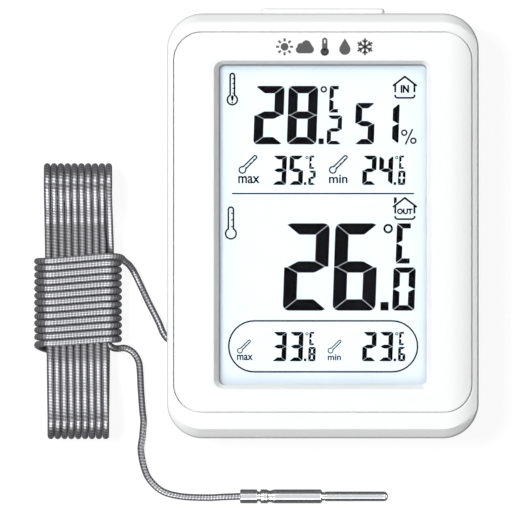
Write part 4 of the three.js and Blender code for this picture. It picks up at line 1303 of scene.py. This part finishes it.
def make_door(white):
    """The battery door: a plate with grip ridges near its lower edge, a latch and hinge pins."""
    middle_y, half_y = (DOOR[1] + DOOR[2]) / 2, (DOOR[2] - DOOR[1]) / 2
    plate = Shape().loft(slab_rings(DOOR[0], half_y, 1.3, 0.1, 1.8, 0.25, 0.0, middle_y))
    door = make("battery_door_panel", plate, IN_CASE)
    grooves = Shape()
    for index in range(5):
        y = DOOR[1] + 3.4 + 1.5 * index
        grooves.loft(stack(8, 0.3, 0.29, ((0.2, -0.5), (0.2, 0.1), (0, 0.5)), 0.0, y, 4))
    combine(door, grooves, "DIFFERENCE")
    extras = Shape().box(-5, 5, BAY[1] + 0.3, BAY[1] + 1.3, 1.5, 4.0)
    far, near, radius = DOOR[0] + 1.4, DOOR[0] - 2.0, DOOR_PIN_RADIUS
    for side in (-1, 1):
        ends = [(near, radius - 0.2), (near, radius), (far - 0.2, radius), (far, radius - 0.2)]
        pin = [(side * along, across) for along, across in ends]
        extras.turned(pin, (0, DOOR_PIN_Y, DOOR_PIN_Z), "x", 24)
    combine(door, extras, "UNION")
    finish_piece(door, white, "door_panel", "casing_white", "battery_door")


def make_magnet(name, x, nickel, node):
    rim, low, high = MAGNET_RADIUS, 0.2, 2.4
    profile = [(low, 0.05), (low, rim - 0.4), (low + 0.08, rim - 0.12), (low + 0.3, rim)]
    profile += [(high - 0.3, rim), (high - 0.08, rim - 0.12), (high, rim - 0.4), (high, 0.05)]
    magnet = make(name, Shape().turned(profile, (x, MAGNET_Y, 0), "z", 64), IN_CASE)
    finish_piece(magnet, nickel, "casing", "magnet_nickel", node)


def make_grommet(rubber):
    """A rubber bush with two ribs, tapering to the cable."""
    low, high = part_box("cable_grommet")
    start = low.x / MM
    bore = CABLE_RADIUS + 0.12
    outside = [(0.0, bore), (0.0, 1.3), (0.1, 1.48), (0.35, 1.55), (0.5, 1.4), (0.62, 1.4), (0.78, 1.72)]
    outside += [(0.95, 1.76), (1.08, 1.6), (1.2, 1.6), (1.32, 1.98), (1.55, 2.1), (1.58, 1.9), (3.62, 1.9)]
    outside += [(3.62, 2.3), (3.75, 2.4), (4.6, 2.4), (4.7, 2.3), (4.7, bore)]
    profile = [(start + along, radius) for along, radius in outside]
    bush = make("cable_bush", Shape().turned(profile, (0, EXIT_Y, EXIT_Z), "x", closed=True), IN_CASE)
    finish_piece(bush, rubber, "casing", "grommet_rubber", "cable_grommet")


def make_battery(name, node, sleeve):
    """A cell with its crimped shoulder and its raised contact."""
    low, high = mm_box(node)
    radius, middle_y, middle_z = (high.z - low.z) / 2, (low.y + high.y) / 2, (low.z + high.z) / 2
    facing = 1 if high.x > -low.x else -1
    start = low.x if facing > 0 else high.x
    length = high.x - low.x
    profile = [(0.0, 0.05), (0.0, 4.2), (0.12, 4.4), (0.12, 4.8), (0.3, 5.1), (0.6, radius)]
    profile += [(length - 1.6, radius), (length - 1.2, radius - 0.15), (length - 0.9, radius - 0.6)]
    profile += [(length - 0.85, 2.4), (length - 0.8, 1.95), (length - 0.15, 1.9)]
    profile += [(length, 1.7), (length, 0.05)]
    turned = [(start + facing * along, r) for along, r in profile]
    cell = make(name, Shape().turned(turned, (0, middle_y, middle_z), "x"))
    finish_piece(cell, sleeve, "casing", "cell_sleeve", node)


# ---------------------------------------------------------------- everything inside the casing

steel = metal("plated_steel", (0.6, 0.61, 0.63), 0.28)
white = moulded("casing_white", (0.83, 0.835, 0.835), 0.3, mottle=0.008)
nickel = metal("magnet_nickel", (0.55, 0.55, 0.56), 0.2)
rubber = moulded("grommet_rubber", (0.14, 0.145, 0.15), 0.7, 700.0, 0.00003, 0.1)
sleeve = cell_material()
corners = [f"{end}_{side}" for end in ("upper", "lower") for side in ("left", "right")]
screws = [f"{corner}_{kind}_screw" for corner in corners for kind in ("case", "board")]
switches = [f"{place}_switch{part}" for part in ("", "_plunger") for place in ("unit", "clear", "light")]
inner_finishes = {
    moulded("light_guide_clear", (0.88, 0.93, 0.97), 0.12, mottle=0.01, Transmission_Weight=0.6): [
        "light_guide",
    ],
    moulded("inner_white", (0.85, 0.85, 0.84), 0.5): ["reflector_sheet", "lcd_frame", "sensor_connector"],
    moulded("contact_rubber", (0.42, 0.34, 0.33), 0.75, 400.0, 0.00005, 0.12): [
        "upper_contact_strip", "lower_contact_strip",
    ],
    moulded("led_white", (0.9, 0.88, 0.7), 0.3): ["backlight_led_left", "backlight_led_right"],
    board_material(): ["main_board"],
    moulded("epoxy_black", (0.012, 0.012, 0.013), 0.35, 300.0, 0.00005, 0.2): ["controller_blob"],
    moulded("part_black", (0.02, 0.02, 0.022), 0.4): ["room_sensor", "smoothing_capacitor", *switches],
    steel: [
        "clock_crystal", "left_contact_spring", "right_contact_spring", "negative_contact",
        "positive_contact", "bridge_contact", "stand_pin", "probe_bead", *screws,
    ],
    moulded("red_insulation", (0.5, 0.02, 0.015), 0.45, mottle=0.08): ["red_battery_wire"],
    moulded("black_insulation", (0.015, 0.015, 0.015), 0.45, mottle=0.1): ["black_battery_wire"],
    moulded("cable_core_grey", (0.3, 0.3, 0.31), 0.5, mottle=0.08): ["inner_cable"],
}
for finish, nodes in inner_finishes.items():
    for node in nodes:
        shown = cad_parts[node]
        shown.data.materials.clear()
        shown.data.materials.append(finish)

make_casing(white)
make_cover(white)
make_display()
make_light_bar(white)
make_back_key("unit_cap", -KEY_X, white, "unit_key", "unit_button")
make_back_key("clear_cap", KEY_X, white, "clear_key", "clear_button")
make_stand(white)
make_door(white)
make_magnet("left_magnet_disc", -MAGNET_X, nickel, "left_magnet")
make_magnet("right_magnet_disc", MAGNET_X, nickel, "right_magnet")
make_grommet(rubber)
make_battery("lower_cell", "lower_battery", sleeve)
make_battery("upper_cell", "upper_battery", sleeve)

# ---------------------------------------------------------------- floor, light and surroundings

FLOOR_TONE, FLOOR_GLOW = 0.13, 0.92
FLOOR_HALF_M, FLOOR_Z_M = 6.0, -0.0002


def make_floor():
    mesh = bpy.data.meshes.new("floor")
    corners = [(x * FLOOR_HALF_M, y * FLOOR_HALF_M, 0) for x, y in ((-1, -1), (1, -1), (1, 1), (-1, 1))]
    mesh.from_pydata(corners, [], [(0, 1, 2, 3)])
    floor = new_object("floor", mesh)
    floor.location.z = FLOOR_Z_M
    constants = {"Roughness": 0.9, "Specular_IOR_Level": 0.0, "Emission_Color": (1.0, 1.0, 1.0, 1.0)}
    constants["Base_Color"] = (FLOOR_TONE, FLOOR_TONE, FLOOR_TONE, 1.0)
    material, tree, surface, where = new_material("floor_paper", **constants)
    seen = add(tree, "ShaderNodeLightPath").outputs["Is Camera Ray"]
    feed(surface, "Emission Strength", times(tree, seen, FLOOR_GLOW))
    bump(tree, surface, noise(tree, where, 300.0), 0.00002)
    mesh.materials.append(material)


LAMPS = {  # direction, watts and diameter in metres
    "key": ((-0.41, 0.14, 0.9), 104.0, 1.1),
    "upper_fill": ((0.0, 1.0, 0.25), 10.0, 1.0),
    "lower_fill": ((0.0, -1.0, 0.25), 10.0, 1.0),
    "right_fill": ((1.0, 0.0, 0.2), 8.0, 1.0),
}
LAMP_DISTANCE_M = 3.0


def make_lamps():
    """A broad lamp overhead, a little to the left, and faint fills along the floor."""
    for name, (direction, watts, diameter_m) in LAMPS.items():
        data = bpy.data.lights.new(name, "AREA")
        data.shape = "DISK"
        data.size = diameter_m
        data.energy = watts
        lamp = new_object(name, data)
        way = Vector(direction).normalized()
        lamp.location = way * LAMP_DISTANCE_M
        lamp.rotation_euler = way.to_track_quat("Z", "Y").to_euler()
        lamp.visible_glossy = False
        lamp.visible_camera = False


# Softboxes that only polished things show: direction, strength, and the angles in degrees
# from their middle to where they start to fade and to where they end.
SOFTBOXES = [
    ((0.0, 0.23, 0.97), 0.72, 42.0, 54.0),
    ((-0.34, -0.66, 0.63), 4.6, 8.0, 24.0),
    ((0.34, -0.66, 0.63), 4.6, 8.0, 24.0),
    ((-0.38, 0.52, 0.75), 3.4, 8.0, 24.0),
    ((0.38, 0.52, 0.75), 3.4, 8.0, 24.0),
    ((1.0, 0.0, 0.0), 6.0, 8.0, 26.0),
]
SURROUND = 0.1
AMBIENT = 0.1
BACKDROP = 1.0


def make_world():
    """Polished things see softboxes, everything else a dim even room, and the camera a pale backdrop."""
    world = bpy.data.worlds.new("room")
    world.use_nodes = True
    world.cycles.sampling_method = "NONE"
    bpy.context.scene.world = world
    tree = world.node_tree
    way = add(tree, "ShaderNodeTexCoord").outputs["Generated"]
    total = SURROUND
    for direction, strength, fade_start, fade_end in SOFTBOXES:
        unit = Vector(direction).normalized()
        facing = add(tree, "ShaderNodeVectorMath", {0: way, 1: unit}, operation="DOT_PRODUCT")
        reach = {"Value": facing.outputs["Value"], "From Min": math.cos(math.radians(fade_end))}
        reach.update({"From Max": math.cos(math.radians(fade_start)), "To Max": strength})
        box = add(tree, "ShaderNodeMapRange", reach, interpolation_type="SMOOTHSTEP")
        total = plus(tree, box.outputs["Result"], total)
    rays = add(tree, "ShaderNodeLightPath").outputs
    softboxes = times(tree, rays["Is Glossy Ray"], total)
    plain = times(tree, math_node(tree, "SUBTRACT", 1.0, rays["Is Glossy Ray"]), AMBIENT)
    seen = times(tree, rays["Is Camera Ray"], BACKDROP - AMBIENT)
    strength = plus(tree, plus(tree, softboxes, plain), seen)
    tree.links.new(strength, tree.nodes["Background"].inputs["Strength"])
    tree.nodes["Background"].inputs["Color"].default_value = (1.0, 1.0, 1.0, 1.0)


make_floor()
make_lamps()
make_world()
bpy.context.scene.view_settings.view_transform = "Standard"
